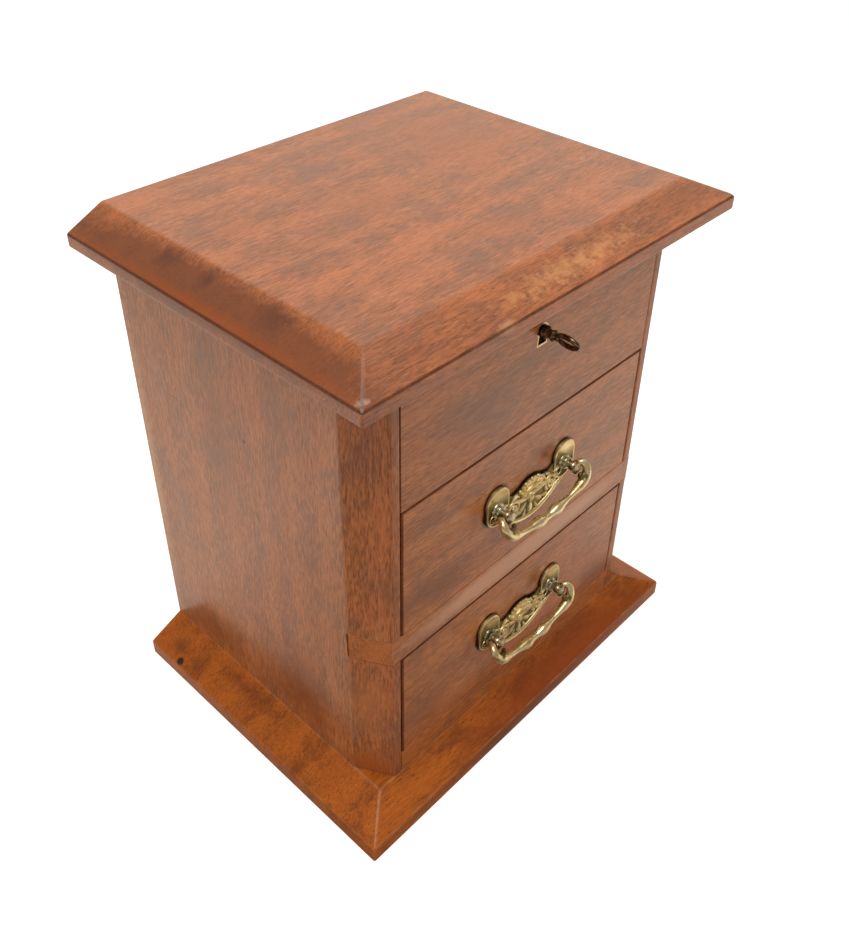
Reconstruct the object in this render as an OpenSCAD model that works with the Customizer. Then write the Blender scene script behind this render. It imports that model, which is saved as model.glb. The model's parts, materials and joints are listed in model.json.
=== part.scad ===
/* [Case] */
// Height of the closed box from the floor to the top of the lid
box_h = 287.8; // [283:0.2:304]
// Width across the two case sides
case_w = 210.4; // [196:0.2:224]
// Depth of the case from front face to back face
case_d = 173.4; // [160:0.2:186]
// Thickness of each case side
side_t = 16.1; // [13:0.1:18]
// Width of the front corner chamfer seen from the front
chamfer_face = 10.5; // [6:0.5:11]
// Width of the front corner chamfer seen from the side, also the depth of both rails
chamfer_side = 19; // [16:0.5:24]
// Thickness of the back panel
back_t = 9; // [8.5:0.5:12]
// Width of the rebate in each side that the back panel lies in
back_rebate = 6; // [3:0.5:9]
// Depth of the housings that hold the dust board and the compartment floor
housing = 5; // [2:0.5:7]
// Thickness of the dust board behind the middle rail
dust_t = 6; // [4:0.5:8]
// Thickness of the compartment floor
floor_t = 6; // [4:0.5:8]
// Thickness of the fixed lock panel
panel_t = 14; // [12:0.5:16]
// Height of the middle rail between the drawers
rail_h = 15.9; // [12:0.1:20]
// Height of the bottom rail and of the runners behind it
bottom_rail_h = 14.4; // [10:0.1:20]
// Width of each runner under the lower drawer
runner_w = 16; // [12:1:24]
// Thickness of a drawer stop glued to the back panel
stop_t = 8; // [4:0.5:12]
// Width of a drawer stop
stop_w = 14; // [10:1:24]
// Height of a drawer stop
stop_h = 22; // [14:1:30]

/* [Base and lid] */
// Width of the base board
base_w = 252.6; // [240:0.2:266]
// Depth of the base board and of the lid, back edges flush with the case
board_d = 191; // [186:0.5:206]
// Height of the base board's upright edge
base_edge = 9.6; // [6:0.1:14]
// Rise of the base board's bevel
base_bevel = 9.6; // [6:0.1:14]
// Width of the lid
lid_w = 250; // [240:0.5:266]
// Height of the lid's upright edge
lid_edge = 6.9; // [6:0.1:12]
// Rise of the lid's bevel
lid_bevel = 9.5; // [7:0.1:12]
// Width of the lid's bevel in plan
lid_bevel_run = 19.5; // [12:0.5:28]

/* [Drawers] */
// Height of the upper drawer opening
upper_h = 76.5; // [64:0.5:84]
// Height of the lower drawer opening
lower_h = 72; // [60:0.5:84]
// Clearance at each end of a drawer
drawer_gap = 0.9; // [0.5:0.1:1.5]
// Clearance above a drawer front
drawer_top_gap = 1.0; // [0.5:0.1:2]
// Thickness of a drawer front
front_t = 14; // [12:0.5:18]
// Thickness of the drawer front that laps over the ends of the drawer sides
lap_t = 5; // [3:0.5:7]
// Thickness of the drawer sides and back
drawer_side_t = 8; // [6:0.5:10]
// How far the drawer sides stop below the top of the front
side_drop = 2; // [0.5:0.5:6]
// Thickness of a drawer bottom
bottom_t = 4; // [3:0.5:6]
// Height of a drawer bottom above the lower edge of its sides
bottom_rise = 5; // [3:0.5:8]
// Depth of the groove that holds a drawer bottom
bottom_groove = 4; // [2:0.5:5]
// Thickness of the felt in the drawers and in the compartment
felt_t = 1; // [0.6:0.1:2]
// Clearance round each piece of felt
felt_gap = 0.4; // [0.2:0.1:1]

/* [Handles] */
// Distance between the two posts of a handle
post_spacing = 51.4; // [48:0.2:54]
// Distance of the upper handle's posts below the middle of its drawer
upper_drop = -0.2; // [-3:0.2:6]
// Distance of the lower handle's posts below the middle of its drawer
lower_drop = -2.2; // [-4:0.2:4]
// Height of the posts above the middle of their plate
post_rise = 4.6; // [3.6:0.2:5.4]
// How far the bowed lower edge of a handle plate hangs below its middle
plate_drop = 15.5; // [14.5:0.5:16.5]
// How much higher that edge is at its ends than at its middle
plate_bow = 8.5; // [7:0.5:9]
// Height of the plate's raised lower border
plate_border_h = 2.8; // [2:0.1:3.4]
// Radius of the plate's end lobes
lobe_r = 8.2; // [7.8:0.1:8.8]
// Height of the plate's shell above its root
shell_reach = 12.6; // [11:0.1:13.6]
// Radius of the plate's two scrolls
scroll_r = 4.2; // [3.6:0.1:4.6]
// Thickness of a handle plate
plate_t = 1.6; // [1.2:0.1:2.2]
// Thickness of the plate's raised lower border
plate_border_t = 2.6; // [2.3:0.1:3.2]
// Thickness of the plate at its shell
shell_t = 3.6; // [2.6:0.1:4.2]
// Distance of the bail's pivot in front of the drawer
pivot_out = 7.3; // [6.8:0.1:8]
// Radius of the bail's pivot pins
pivot_r = 1.3; // [1:0.05:1.5]
// Radial clearance of a pivot pin in its post
pivot_clear = 0.06; // [0.03:0.01:0.1]
// Radius of a post's round eye
eye_r = 2.6; // [2.4:0.1:3]
// Radius of the stud that runs through the drawer front
stud_r = 1.5; // [1.2:0.1:1.8]
// Thickness of a stud's nut
nut_t = 2.2; // [1.8:0.1:3]
// Length of the bail's drop below its pivot
bail_drop = 13.5; // [12:0.5:15]

/* [Mirror] */
// Width of the mirror glass
mirror_w = 150; // [120:1:156]
// Depth of the mirror glass
mirror_d = 108; // [90:1:112]
// Thickness of the mirror glass
mirror_t = 3; // [2:0.2:4]
// Thickness of the paper behind the mirror
paper_t = 0.5; // [0.3:0.1:1]
// Width of the beads that hold the mirror
bead_w = 8; // [6:0.5:9]
// Thickness of the beads that hold the mirror
bead_t = 3.6; // [2.5:0.1:4]
// How far a bead covers the edge of the mirror
bead_cover = 3; // [2:0.5:4]

/* [Hinges] */
// Length of each hinge
hinge_l = 30; // [26:0.5:36]
// Distance of each hinge from the middle of the box
hinge_x = 58; // [48:1:68]
// Width of a hinge leaf that is let into the wood
leaf_w = 7.4; // [6.5:0.1:8.4]
// Thickness of a hinge leaf
leaf_t = 1.2; // [0.9:0.1:1.6]
// Radius of a hinge knuckle
knuckle_r = 2; // [1.8:0.1:2.4]
// Radius of a hinge pin
hinge_pin_r = 0.9; // [0.8:0.05:1.1]
// Clearance between a knuckle and the back of the box
knuckle_clear = 0.1; // [0.08:0.02:0.3]
// Length of the stop tongues behind a hinge
tongue_l = 3.4; // [2.6:0.1:5]
// Angle at which the stop tongues meet
open_angle = 100; // [90:1:110]

/* [Lock] */
// Distance of the key's axis below the top of the case
key_drop = 23.1; // [22.5:0.1:24]
// Radius of the key's shank
shank_r = 1.9; // [1.7:0.1:2]
// Radius of the drill pin that the hollow key slides on
drill_pin_r = 0.9; // [0.7:0.05:1]
// Radial clearance of the drill pin in the key
drill_pin_clear = 0.06; // [0.03:0.01:0.1]
// Reach of the key's bit from its axis
bit_reach = 6.3; // [5.8:0.1:6.4]
// Thickness of the key's bit
bit_t = 1.8; // [1.4:0.1:2]
// Turn of the key away from upright, as it is stored
key_tilt = 24; // [5:1:40]
// Travel of the bolt in one full turn of the key
bolt_travel = 5; // [4.6:0.1:5.2]
// Width of the lock case
lock_w = 45; // [44.8:0.2:46]
// Depth of the room inside the lock case
lock_room = 5.8; // [5.6:0.1:6.4]
// Thickness of the lock's plates
lock_plate_t = 1.2; // [1:0.1:1.6]
// Thickness of the lock's top plate
lock_top_t = 1.6; // [1.2:0.1:2]
// Distance of each link loop from the middle of the lock
loop_x = 12; // [11.8:0.1:12.2]
// Thickness of a link loop
loop_t = 2; // [1.6:0.1:2]
// Width of a link loop
loop_w = 4.4; // [4:0.1:4.6]
// How far a link loop reaches below the lid
loop_h = 9.1; // [8.6:0.1:9.4]
// Reach of the key's bow and collar in front of the lock panel
key_out = 20.3; // [18:0.1:22]
// Radius of the key's bow at the middle of its rim
bow_r = 5.4; // [4.6:0.1:6]
// Radius of the rim of the key's bow
bow_rim_r = 1.4; // [1.1:0.1:1.6]

/* [Screws] */
// Radius of the brass screws in the hinges, the lock and the link plate
screw_r = 1.1; // [0.9:0.1:1.2]
// Radius of their heads
screw_head_r = 2; // [1.8:0.1:2.2]
// Length of the brass screws
screw_l = 8; // [6:0.5:9]
// Radius of the screws that hold the base board
base_screw_r = 2; // [1.6:0.1:2.5]
// Radius of their heads
base_head_r = 3.8; // [3.4:0.1:4.4]
// Length of the screws that hold the base board
base_screw_l = 38; // [30:1:44]

/* [Hidden] */
eps = 0.5;
round_fn = 48;

// Planes in depth: the back is flush all the way up
y_back = board_d / 2;
y_front = y_back - case_d;
y_inner_back = y_back - back_t;
y_panel = y_front + panel_t;
half_inner = case_w / 2 - side_t;

// Levels in height
base_h = base_edge + base_bevel;
z_lower = base_h + bottom_rail_h;
z_rail = z_lower + lower_h;
z_upper = z_rail + rail_h;
z_panel = z_upper + upper_h;
z_rim = box_h - lid_edge - lid_bevel;
z_floor = z_panel + floor_t;

// Drawer bodies
half_drawer = half_inner - drawer_gap;
y_drawer_back = y_inner_back - stop_t;
upper_handle_z = z_upper + upper_h / 2 - upper_drop;
lower_handle_z = z_lower + lower_h / 2 - lower_drop;

// Hinge axis
hinge_y = y_back + knuckle_r + knuckle_clear;
mid_knuckle = hinge_l / 3;
knuckle_gap = 0.2;
tongue_angle = -(open_angle / 2);
tongue_t = 1.2;
tongue_clear_angle = 0.4;

// Lock
key_z = z_rim - key_drop;
y_room = y_panel + lock_plate_t;
y_cap = y_room + lock_room;
y_lock_mid = y_room + lock_room / 2;
lock_h = key_drop + bit_reach + 3.5;
z_lock = z_rim - lock_h;
bolt_clear = 0.1;
bolt_start = bolt_travel * key_tilt / 360;
bit_room = 0.6;
talon_top = bit_reach + bit_room;
talon_half = 6.2;
talon_bite = 1.5;
bar_bottom = key_z + bit_reach - talon_bite + 0.2;
bar_h = 6.3;
slot_z = bar_bottom + bar_h - 2.6;
stump_r = 1.25;
stump_clear = 0.06;
horn_h = 2.2;
horn_y = 2;
horn_z = z_rim - loop_h + 1.9 + 0.7;
horn_gap = 0.6;
upright_w = 2;
flange_w = 6;
loop_window_y = loop_w - 1.8;
loop_window_z = 3.6;
slot_clear = 0.6;
link_half = 20.5;
link_d = 9;

// A box between two corners
module block(from, to) {
  translate(from) cube(to - from);
}

// A cylinder along Y, from y0 to y1
module along_y(x, z, r, y0, y1) {
  translate([x, y1, z]) rotate([90, 0, 0]) cylinder(r = r, h = y1 - y0, $fn = round_fn);
}

// A cylinder along X, from x0 to x1
module along_x(y, z, r, x0, x1) {
  translate([x0, y, z]) rotate([0, 90, 0]) cylinder(r = r, h = x1 - x0, $fn = round_fn);
}

// A countersunk screw that points up from the origin, with a driver slot
module screw(r, head_r, length) {
  difference() {
    union() {
      cylinder(r = r, h = length, $fn = 24);
      cylinder(r1 = head_r, r2 = r, h = head_r - r, $fn = 24);
    }
    block([-head_r, -r / 5, -eps], [head_r, r / 5, r / 2]);
  }
}

// The room that a screw takes
module screw_hole(r, head_r, length) {
  cylinder(r = r, h = length, $fn = 24);
  cylinder(r1 = head_r, r2 = r, h = head_r - r, $fn = 24);
  translate([0, 0, -eps]) cylinder(r = head_r, h = eps, $fn = 24);
}

// A board with bevels on the front and both ends, square at the back.
// Section across the width, cut to length by the section across the depth.
module bevelled_board(width, edge, rise, run_x, run_y, colour) {
  color(colour) intersection() {
    translate([0, y_back, 0]) rotate([90, 0, 0]) linear_extrude(board_d)
      polygon([
        [-width / 2, 0], [width / 2, 0], [width / 2, edge],
        [width / 2 - run_x, edge + rise], [run_x - width / 2, edge + rise], [-width / 2, edge]
      ]);
    translate([-width / 2, 0, 0]) rotate([90, 0, 90]) linear_extrude(width)
      polygon([
        [-board_d / 2, 0], [board_d / 2, 0], [board_d / 2, edge + rise],
        [run_y - board_d / 2, edge + rise], [-board_d / 2, edge]
      ]);
  }
}

// Base
base_screw_inset = 30;
function base_screw_y() = [
  y_front + base_screw_inset, (y_front + y_back) / 2, y_back - base_screw_inset
];

module at_base_screws() {
  for (side = [-1, 1])
    for (y = base_screw_y())
      translate([side * (case_w / 2 - side_t / 2), y, 0]) children();
}

module base_board() {
  difference() {
    bevelled_board(
      base_w, base_edge, base_bevel,
      (base_w - case_w) / 2, board_d - case_d, "sienna"
    );
    at_base_screws() screw_hole(base_screw_r, base_head_r, base_screw_l);
  }
}

module base_screws() {
  color("dimgray") at_base_screws() screw(base_screw_r, base_head_r, base_screw_l);
}

// Plan of the case's outline with its two front chamfers
module case_plan() {
  polygon([
    [-case_w / 2, y_back], [-case_w / 2, y_front + chamfer_side],
    [chamfer_face - case_w / 2, y_front], [case_w / 2 - chamfer_face, y_front],
    [case_w / 2, y_front + chamfer_side], [case_w / 2, y_back]
  ]);
}

// The right case side; the left one is its mirror image
module side_board() {
  difference() {
    intersection() {
      translate([0, 0, base_h]) linear_extrude(z_rim - base_h) case_plan();
      block([half_inner, y_front, base_h], [case_w / 2, y_back, z_rim]);
    }
    block(
      [half_inner - eps, y_inner_back, base_h - eps],
      [half_inner + back_rebate, y_back + eps, z_rim + eps]
    );
    block(
      [half_inner - eps, y_front - eps, z_rail],
      [case_w / 2 + eps, y_front + chamfer_side, z_upper]
    );
    block(
      [half_inner - eps, y_front + chamfer_side - eps, z_upper - dust_t],
      [half_inner + housing, y_inner_back + eps, z_upper]
    );
    block(
      [half_inner - eps, y_panel, z_panel],
      [half_inner + housing, y_inner_back + eps, z_floor]
    );
    at_base_screws() cylinder(r = base_screw_r, h = base_screw_l, $fn = 24);
  }
}

module side_left() {
  color("saddlebrown") mirror([1, 0, 0]) side_board();
}

module side_right() {
  color("saddlebrown") side_board();
}

module back_panel() {
  color("sienna") difference() {
    block(
      [-half_inner - back_rebate, y_inner_back, base_h],
      [half_inner + back_rebate, y_back, z_rim]
    );
    for (side = [-1, 1]) translate([side * hinge_x, 0, 0]) {
      block(
        [-hinge_l / 2, y_back - leaf_w, z_rim - leaf_t],
        [hinge_l / 2, y_back + eps, z_rim + eps]
      );
      at_leaf_screws() rotate([180, 0, 0]) cylinder(r = screw_r, h = screw_l, $fn = 24);
    }
  }
}

module middle_rail() {
  color("sienna") intersection() {
    translate([0, 0, z_rail]) linear_extrude(rail_h) case_plan();
    block(
      [-case_w / 2, y_front, z_rail],
      [case_w / 2, y_front + chamfer_side, z_upper]
    );
  }
}

module bottom_rail() {
  color("sienna")
    block([-half_inner, y_front, base_h], [half_inner, y_front + chamfer_side, z_lower]);
}

module dust_board() {
  color("peru") block(
    [-half_inner - housing, y_front + chamfer_side, z_upper - dust_t],
    [half_inner + housing, y_inner_back, z_upper]
  );
}

module runner() {
  block(
    [half_inner - runner_w, y_front + chamfer_side, base_h],
    [half_inner, y_inner_back, z_lower]
  );
}

module runner_left() {
  color("peru") mirror([1, 0, 0]) runner();
}

module runner_right() {
  color("peru") runner();
}

module compartment_floor() {
  color("peru") block(
    [-half_inner - housing, y_panel, z_panel],
    [half_inner + housing, y_inner_back, z_floor]
  );
}

module compartment_felt() {
  color("darkgreen") block(
    [felt_gap - half_inner, y_panel + felt_gap, z_floor],
    [half_inner - felt_gap, y_inner_back - felt_gap, z_floor + felt_t]
  );
}

// Two stop blocks for each drawer, glued to the back panel
module drawer_stops() {
  stop_inset = 26;
  color("peru")
    for (level = [z_lower, z_upper])
      for (side = [-1, 1])
        translate([side * (half_inner - stop_inset), 0, level]) block(
          [-stop_w / 2, y_drawer_back, bottom_rise],
          [stop_w / 2, y_inner_back, bottom_rise + stop_h]
        );
}

// Keyhole outline: a round head over a skirt that flares downwards
skirt_drop = 7.8;
skirt_waist = 2.9;
skirt_foot = 3.9;
head_r = 4.1;
thread_w = 1;
thread_depth = 3;

module keyhole_skirt(inset) {
  polygon([
    [-skirt_waist + inset, 0], [skirt_waist - inset, 0],
    [skirt_foot - inset, inset - skirt_drop], [inset - skirt_foot, inset - skirt_drop]
  ]);
}

module keyhole_solid(inset, y0, y1) {
  along_y(0, key_z, head_r - inset, y0, y1);
  translate([0, y1, key_z]) rotate([90, 0, 0]) linear_extrude(y1 - y0) keyhole_skirt(inset);
}

module lock_panel() {
  color("sienna") difference() {
    block([-half_inner, y_front, z_panel], [half_inner, y_panel, z_rim]);
    keyhole_solid(0, y_front - eps, y_front + thread_depth);
    keyhole_solid(thread_w, y_front, y_panel + eps);
    at_lock_screws() rotate([90, 0, 0]) cylinder(r = screw_r, h = screw_l, $fn = 24);
  }
}

module escutcheon() {
  color("gold") difference() {
    keyhole_solid(0, y_front, y_front + thread_depth);
    keyhole_solid(thread_w, y_front - eps, y_front + thread_depth + eps);
  }
}

// Lock, on the inner face of the lock panel
module at_lock_screws() {
  for (side = [-1, 1])
    for (z = [z_lock + 5, z_rim - 6])
      translate([side * (lock_w / 2 + flange_w / 2), y_room, z]) children();
}

stump_left = -11;
stump_right = 12;

module lock_case() {
  wall = lock_plate_t;
  color("goldenrod") difference() {
    union() {
      block([-lock_w / 2 - flange_w, y_panel, z_lock], [lock_w / 2 + flange_w, y_room, z_rim]);
      block([-lock_w / 2, y_panel, z_lock], [lock_w / 2, y_cap, z_rim]);
    }
    difference() {
      block(
        [wall - lock_w / 2, y_room, z_lock + wall],
        [lock_w / 2 - wall, y_cap + eps, z_rim - lock_top_t]
      );
      for (x = [stump_left, stump_right]) along_y(x, slot_z, stump_r, y_panel, y_cap);
    }
    along_y(0, key_z, shank_r + 0.3, y_panel - eps, y_room + eps);
    block(
      [-bit_t / 2 - 0.4, y_panel - eps, key_z - bit_reach - 0.5],
      [bit_t / 2 + 0.4, y_room + eps, key_z]
    );
    for (side = [-1, 1]) block(
      [side * loop_x - loop_t / 2 - slot_clear, y_lock_mid - loop_w / 2 - slot_clear, z_rim - lock_top_t - eps],
      [side * loop_x + loop_t / 2 + slot_clear, y_lock_mid + loop_w / 2 + slot_clear, z_rim + eps]
    );
    at_lock_screws() rotate([90, 0, 0]) screw_hole(screw_r, screw_head_r, screw_l);
  }
}

module lock_cap() {
  color("goldenrod") {
    block([-lock_w / 2, y_cap, z_lock], [lock_w / 2, y_cap + lock_plate_t, z_rim]);
    along_y(0, key_z, drill_pin_r, y_panel - 6, y_cap + lock_plate_t / 2);
  }
}

module lock_screws() {
  color("gold") at_lock_screws() rotate([90, 0, 0]) screw(screw_r, screw_head_r, screw_l);
}

// A leaf spring that bears up against the bolt
module lock_spring() {
  spring_t = 0.5;
  spring_foot = lock_w / 2 - lock_plate_t;
  spring_tip = 10;
  spring_z = z_lock + lock_plate_t;
  spring_top = bar_bottom - bolt_clear - spring_t;
  leaf = [for (i = [0 : 8])
    let (t = i / 8)
    [spring_foot - spring_t - (spring_foot - spring_tip - spring_t) * t * t,
     spring_z + (spring_top - spring_z) * (1 - pow(1 - t, 2))]];
  color("lightsteelblue") translate([0, y_lock_mid + 2, 0]) rotate([90, 0, 0]) linear_extrude(4)
    polygon(concat(leaf, [for (i = [8 : -1 : 0]) leaf[i] + [spring_t, spring_t]]));
}

// The bolt: a bar on two stumps, a notch for the key's bit and two horns
module lock_bolt() {
  slot_lo = bolt_start + 0.15;
  slot_hi = bolt_travel - bolt_start + 0.15;
  talon_x = bolt_travel / 2 - bolt_start;
  bar_left = -15.4;
  bar_right = loop_x + loop_t / 2 + horn_gap + bolt_travel + upright_w;
  y0 = y_room + bolt_clear;
  y1 = y_cap - bolt_clear;
  color("khaki") {
    difference() {
      block([bar_left, y0, bar_bottom], [bar_right, y1, bar_bottom + bar_h]);
      block(
        [talon_x - talon_half, y0 - eps, bar_bottom - eps],
        [talon_x + talon_half, y1 + eps, key_z + talon_top]
      );
      for (x = [stump_left, stump_right]) {
        along_y(x - slot_lo, slot_z, stump_r + stump_clear, y0 - eps, y1 + eps);
        along_y(x + slot_hi, slot_z, stump_r + stump_clear, y0 - eps, y1 + eps);
        block(
          [x - slot_lo, y0 - eps, slot_z - stump_r - stump_clear],
          [x + slot_hi, y1 + eps, slot_z + stump_r + stump_clear]
        );
      }
    }
    for (side = [-1, 1]) {
      tip = side * loop_x + loop_t / 2 + horn_gap;
      post = tip + bolt_travel;
      block(
        [tip, y_lock_mid - horn_y / 2, horn_z],
        [post + upright_w, y_lock_mid + horn_y / 2, horn_z + horn_h]
      );
      block(
        [post, y_lock_mid - horn_y / 2, bar_bottom + bar_h - eps],
        [post + upright_w, y_lock_mid + horn_y / 2, horn_z + horn_h]
      );
    }
  }
}

// Lid
module at_link_screws() {
  for (side = [-1, 1])
    translate([side * (link_half - 3.5), y_lock_mid, z_rim]) children();
}

module link_plate() {
  color("goldenrod") {
    difference() {
      block(
        [-link_half, y_lock_mid - link_d / 2, z_rim],
        [link_half, y_lock_mid + link_d / 2, z_rim + leaf_t]
      );
      at_link_screws() screw_hole(screw_r, screw_head_r, screw_l);
    }
    for (side = [-1, 1]) difference() {
      block(
        [side * loop_x - loop_t / 2, y_lock_mid - loop_w / 2, z_rim - loop_h],
        [side * loop_x + loop_t / 2, y_lock_mid + loop_w / 2, z_rim + leaf_t / 2]
      );
      block(
        [side * loop_x - loop_t, y_lock_mid - loop_window_y / 2, z_rim - loop_h + 1.9],
        [side * loop_x + loop_t, y_lock_mid + loop_window_y / 2, z_rim - loop_h + 1.9 + loop_window_z]
      );
    }
  }
}

module link_screws() {
  color("gold") at_link_screws() screw(screw_r, screw_head_r, screw_l);
}

mirror_y = (y_panel + y_inner_back) / 2 + 2;

module lid_board() {
  difference() {
    translate([0, 0, z_rim])
      bevelled_board(lid_w, lid_edge, lid_bevel, lid_bevel_run, lid_bevel_run, "sienna");
    block(
      [-mirror_w / 2, mirror_y - mirror_d / 2, z_rim - eps],
      [mirror_w / 2, mirror_y + mirror_d / 2, z_rim + mirror_t + paper_t]
    );
    block(
      [-link_half, y_lock_mid - link_d / 2, z_rim - eps],
      [link_half, y_lock_mid + link_d / 2, z_rim + leaf_t]
    );
    at_link_screws() cylinder(r = screw_r, h = screw_l, $fn = 24);
    for (side = [-1, 1]) translate([side * hinge_x, 0, 0]) {
      block(
        [-hinge_l / 2, y_back - leaf_w, z_rim - eps],
        [hinge_l / 2, y_back + eps, z_rim + leaf_t]
      );
      at_leaf_screws() cylinder(r = screw_r, h = screw_l, $fn = 24);
    }
  }
}

module mirror_glass() {
  color("lightcyan") block(
    [-mirror_w / 2, mirror_y - mirror_d / 2, z_rim],
    [mirror_w / 2, mirror_y + mirror_d / 2, z_rim + mirror_t]
  );
}

module mirror_paper() {
  color("tan") block(
    [-mirror_w / 2, mirror_y - mirror_d / 2, z_rim + mirror_t],
    [mirror_w / 2, mirror_y + mirror_d / 2, z_rim + mirror_t + paper_t]
  );
}

bead_slope_w = 2.8;

// A bead with mitred ends, for an edge of the mirror that is length long and
// lies at distance from the middle, before it is turned to its side
module bead(length, distance) {
  inner = bead_cover;
  outer = bead_w - bead_cover;
  translate([0, mirror_y, z_rim - bead_t]) difference() {
    linear_extrude(bead_t) polygon([
      [inner - length / 2, inner - distance], [length / 2 - inner, inner - distance],
      [length / 2 + outer, -outer - distance], [-outer - length / 2, -outer - distance]
    ]);
    translate([-length, inner - distance - bead_slope_w, 0]) rotate([35, 0, 0])
      block([0, 0, -bead_t], [2 * length, 2 * bead_slope_w, 0]);
  }
}

module bead_front() {
  color("sienna") bead(mirror_w, mirror_d / 2);
}

module bead_back() {
  color("sienna") translate([0, 2 * mirror_y, 0]) mirror([0, 1, 0]) bead(mirror_w, mirror_d / 2);
}

module bead_side() {
  translate([0, mirror_y, 0]) rotate([0, 0, 90]) translate([0, -mirror_y, 0])
    bead(mirror_d, mirror_w / 2);
}

module bead_left() {
  color("sienna") mirror([1, 0, 0]) bead_side();
}

module bead_right() {
  color("sienna") bead_side();
}

// Hinges: leaves let into the back panel and the lid, stop tongues behind
module at_leaf_screws() {
  for (x = [-hinge_l / 3, 0, hinge_l / 3])
    translate([x, y_back - leaf_w / 2 - 0.4, z_rim]) children();
}

// A tongue whose stop face is the radial plane at the given angle.
// Its body lies on the side of that plane that grow points to.
module tongue(x0, x1, from_r, angle, grow) {
  translate([0, hinge_y, z_rim]) rotate([angle, 0, 0]) block(
    [x0, from_r, grow < 0 ? -tongue_t : 0],
    [x1, knuckle_r + tongue_l, grow < 0 ? 0 : tongue_t]
  );
}

module case_leaf() {
  half = hinge_l / 2;
  joint = mid_knuckle / 2;
  color("gold") difference() {
    union() {
      block([-half, y_back - leaf_w, z_rim - leaf_t], [half, y_back, z_rim]);
      for (x0 = [-half, joint]) {
        along_x(hinge_y, z_rim, knuckle_r, x0, x0 + half - joint);
        block([x0, y_back - eps, z_rim - leaf_t], [x0 + half - joint, hinge_y, z_rim]);
        tongue(x0, x0 + half - joint, knuckle_r - eps, tongue_angle, -1);
      }
      tongue(-half, half, knuckle_r + knuckle_clear * 2, tongue_angle, -1);
    }
    along_x(hinge_y, z_rim, hinge_pin_r, -half - eps, half + eps);
    at_leaf_screws() rotate([180, 0, 0]) screw_hole(screw_r, screw_head_r, screw_l);
  }
}

module lid_leaf() {
  half = hinge_l / 2;
  joint = mid_knuckle / 2 - knuckle_gap;
  color("gold") difference() {
    union() {
      block([-half, y_back - leaf_w, z_rim], [half, y_back, z_rim + leaf_t]);
      along_x(hinge_y, z_rim, knuckle_r, -joint, joint);
      block([-joint, y_back - eps, z_rim], [joint, hinge_y, z_rim + leaf_t]);
      tongue(-joint, joint, knuckle_r - eps, tongue_angle + open_angle + tongue_clear_angle, 1);
    }
    along_x(hinge_y, z_rim, hinge_pin_r + pivot_clear, -half - eps, half + eps);
    at_leaf_screws() screw_hole(screw_r, screw_head_r, screw_l);
  }
}

module case_leaf_left() {
  translate([-hinge_x, 0, 0]) case_leaf();
}

module case_leaf_right() {
  translate([hinge_x, 0, 0]) case_leaf();
}

module lid_leaf_left() {
  translate([-hinge_x, 0, 0]) lid_leaf();
}

module lid_leaf_right() {
  translate([hinge_x, 0, 0]) lid_leaf();
}

module case_leaf_screws() {
  color("gold") for (side = [-1, 1]) translate([side * hinge_x, 0, 0])
    at_leaf_screws() rotate([180, 0, 0]) screw(screw_r, screw_head_r, screw_l);
}

module lid_leaf_screws() {
  color("gold") for (side = [-1, 1]) translate([side * hinge_x, 0, 0])
    at_leaf_screws() screw(screw_r, screw_head_r, screw_l);
}

module hinge_pins() {
  color("goldenrod") for (side = [-1, 1])
    along_x(hinge_y, z_rim, hinge_pin_r, side * hinge_x - hinge_l / 2, side * hinge_x + hinge_l / 2);
}

// Drawers: each module takes the level of its opening and its height
module drawer_front(level, height, handle_z) {
  color("sienna") difference() {
    block([-half_drawer, y_front, level], [half_drawer, y_front + front_t, level + height - drawer_top_gap]);
    for (side = [-1, 1]) {
      block(
        [side * half_drawer - drawer_side_t, y_front + lap_t, level - eps],
        [side * half_drawer + drawer_side_t, y_front + front_t + eps, level + height]
      );
      along_y(side * post_spacing / 2, handle_z, stud_r, y_front - eps, y_front + front_t + eps);
    }
    block(
      [-half_drawer, y_front + front_t - bottom_groove, level + bottom_rise],
      [half_drawer, y_front + front_t + eps, level + bottom_rise + bottom_t]
    );
  }
}

module drawer_side(level, height) {
  color("peru") difference() {
    block(
      [half_drawer - drawer_side_t, y_front + lap_t, level],
      [half_drawer, y_drawer_back, level + height - drawer_top_gap - side_drop]
    );
    block(
      [half_drawer - drawer_side_t - eps, y_front, level + bottom_rise],
      [half_drawer - drawer_side_t + bottom_groove, y_drawer_back + eps, level + bottom_rise + bottom_t]
    );
  }
}

module drawer_back(level, height) {
  color("peru") block(
    [drawer_side_t - half_drawer, y_drawer_back - drawer_side_t, level + bottom_rise + bottom_t],
    [half_drawer - drawer_side_t, y_drawer_back, level + height - drawer_top_gap - side_drop]
  );
}

module drawer_bottom(level) {
  reach = half_drawer - drawer_side_t + bottom_groove;
  color("burlywood") block(
    [-reach, y_front + front_t - bottom_groove, level + bottom_rise],
    [reach, y_drawer_back, level + bottom_rise + bottom_t]
  );
}

module drawer_felt(level) {
  reach = half_drawer - drawer_side_t - felt_gap;
  top = level + bottom_rise + bottom_t;
  color("darkgreen") block(
    [-reach, y_front + front_t + felt_gap, top],
    [reach, y_drawer_back - drawer_side_t - felt_gap, top + felt_t]
  );
}

// Handle plate, drawn round its middle: a lobe behind each post, a bowed lower
// edge and a shell at the top
function plate_edge(u) = plate_bow * u * u - plate_drop;
plate_half = post_spacing * 0.428;
plate_steps = 11;

module plate_lobe(side) {
  lobe_x = post_spacing / 2;
  hull() {
    translate([side * lobe_x, lobe_r * 1.14]) circle(r = lobe_r, $fn = 32);
    translate([side * lobe_x * 0.977, lobe_r * 0.37]) circle(r = lobe_r * 0.977, $fn = 32);
  }
}

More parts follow.
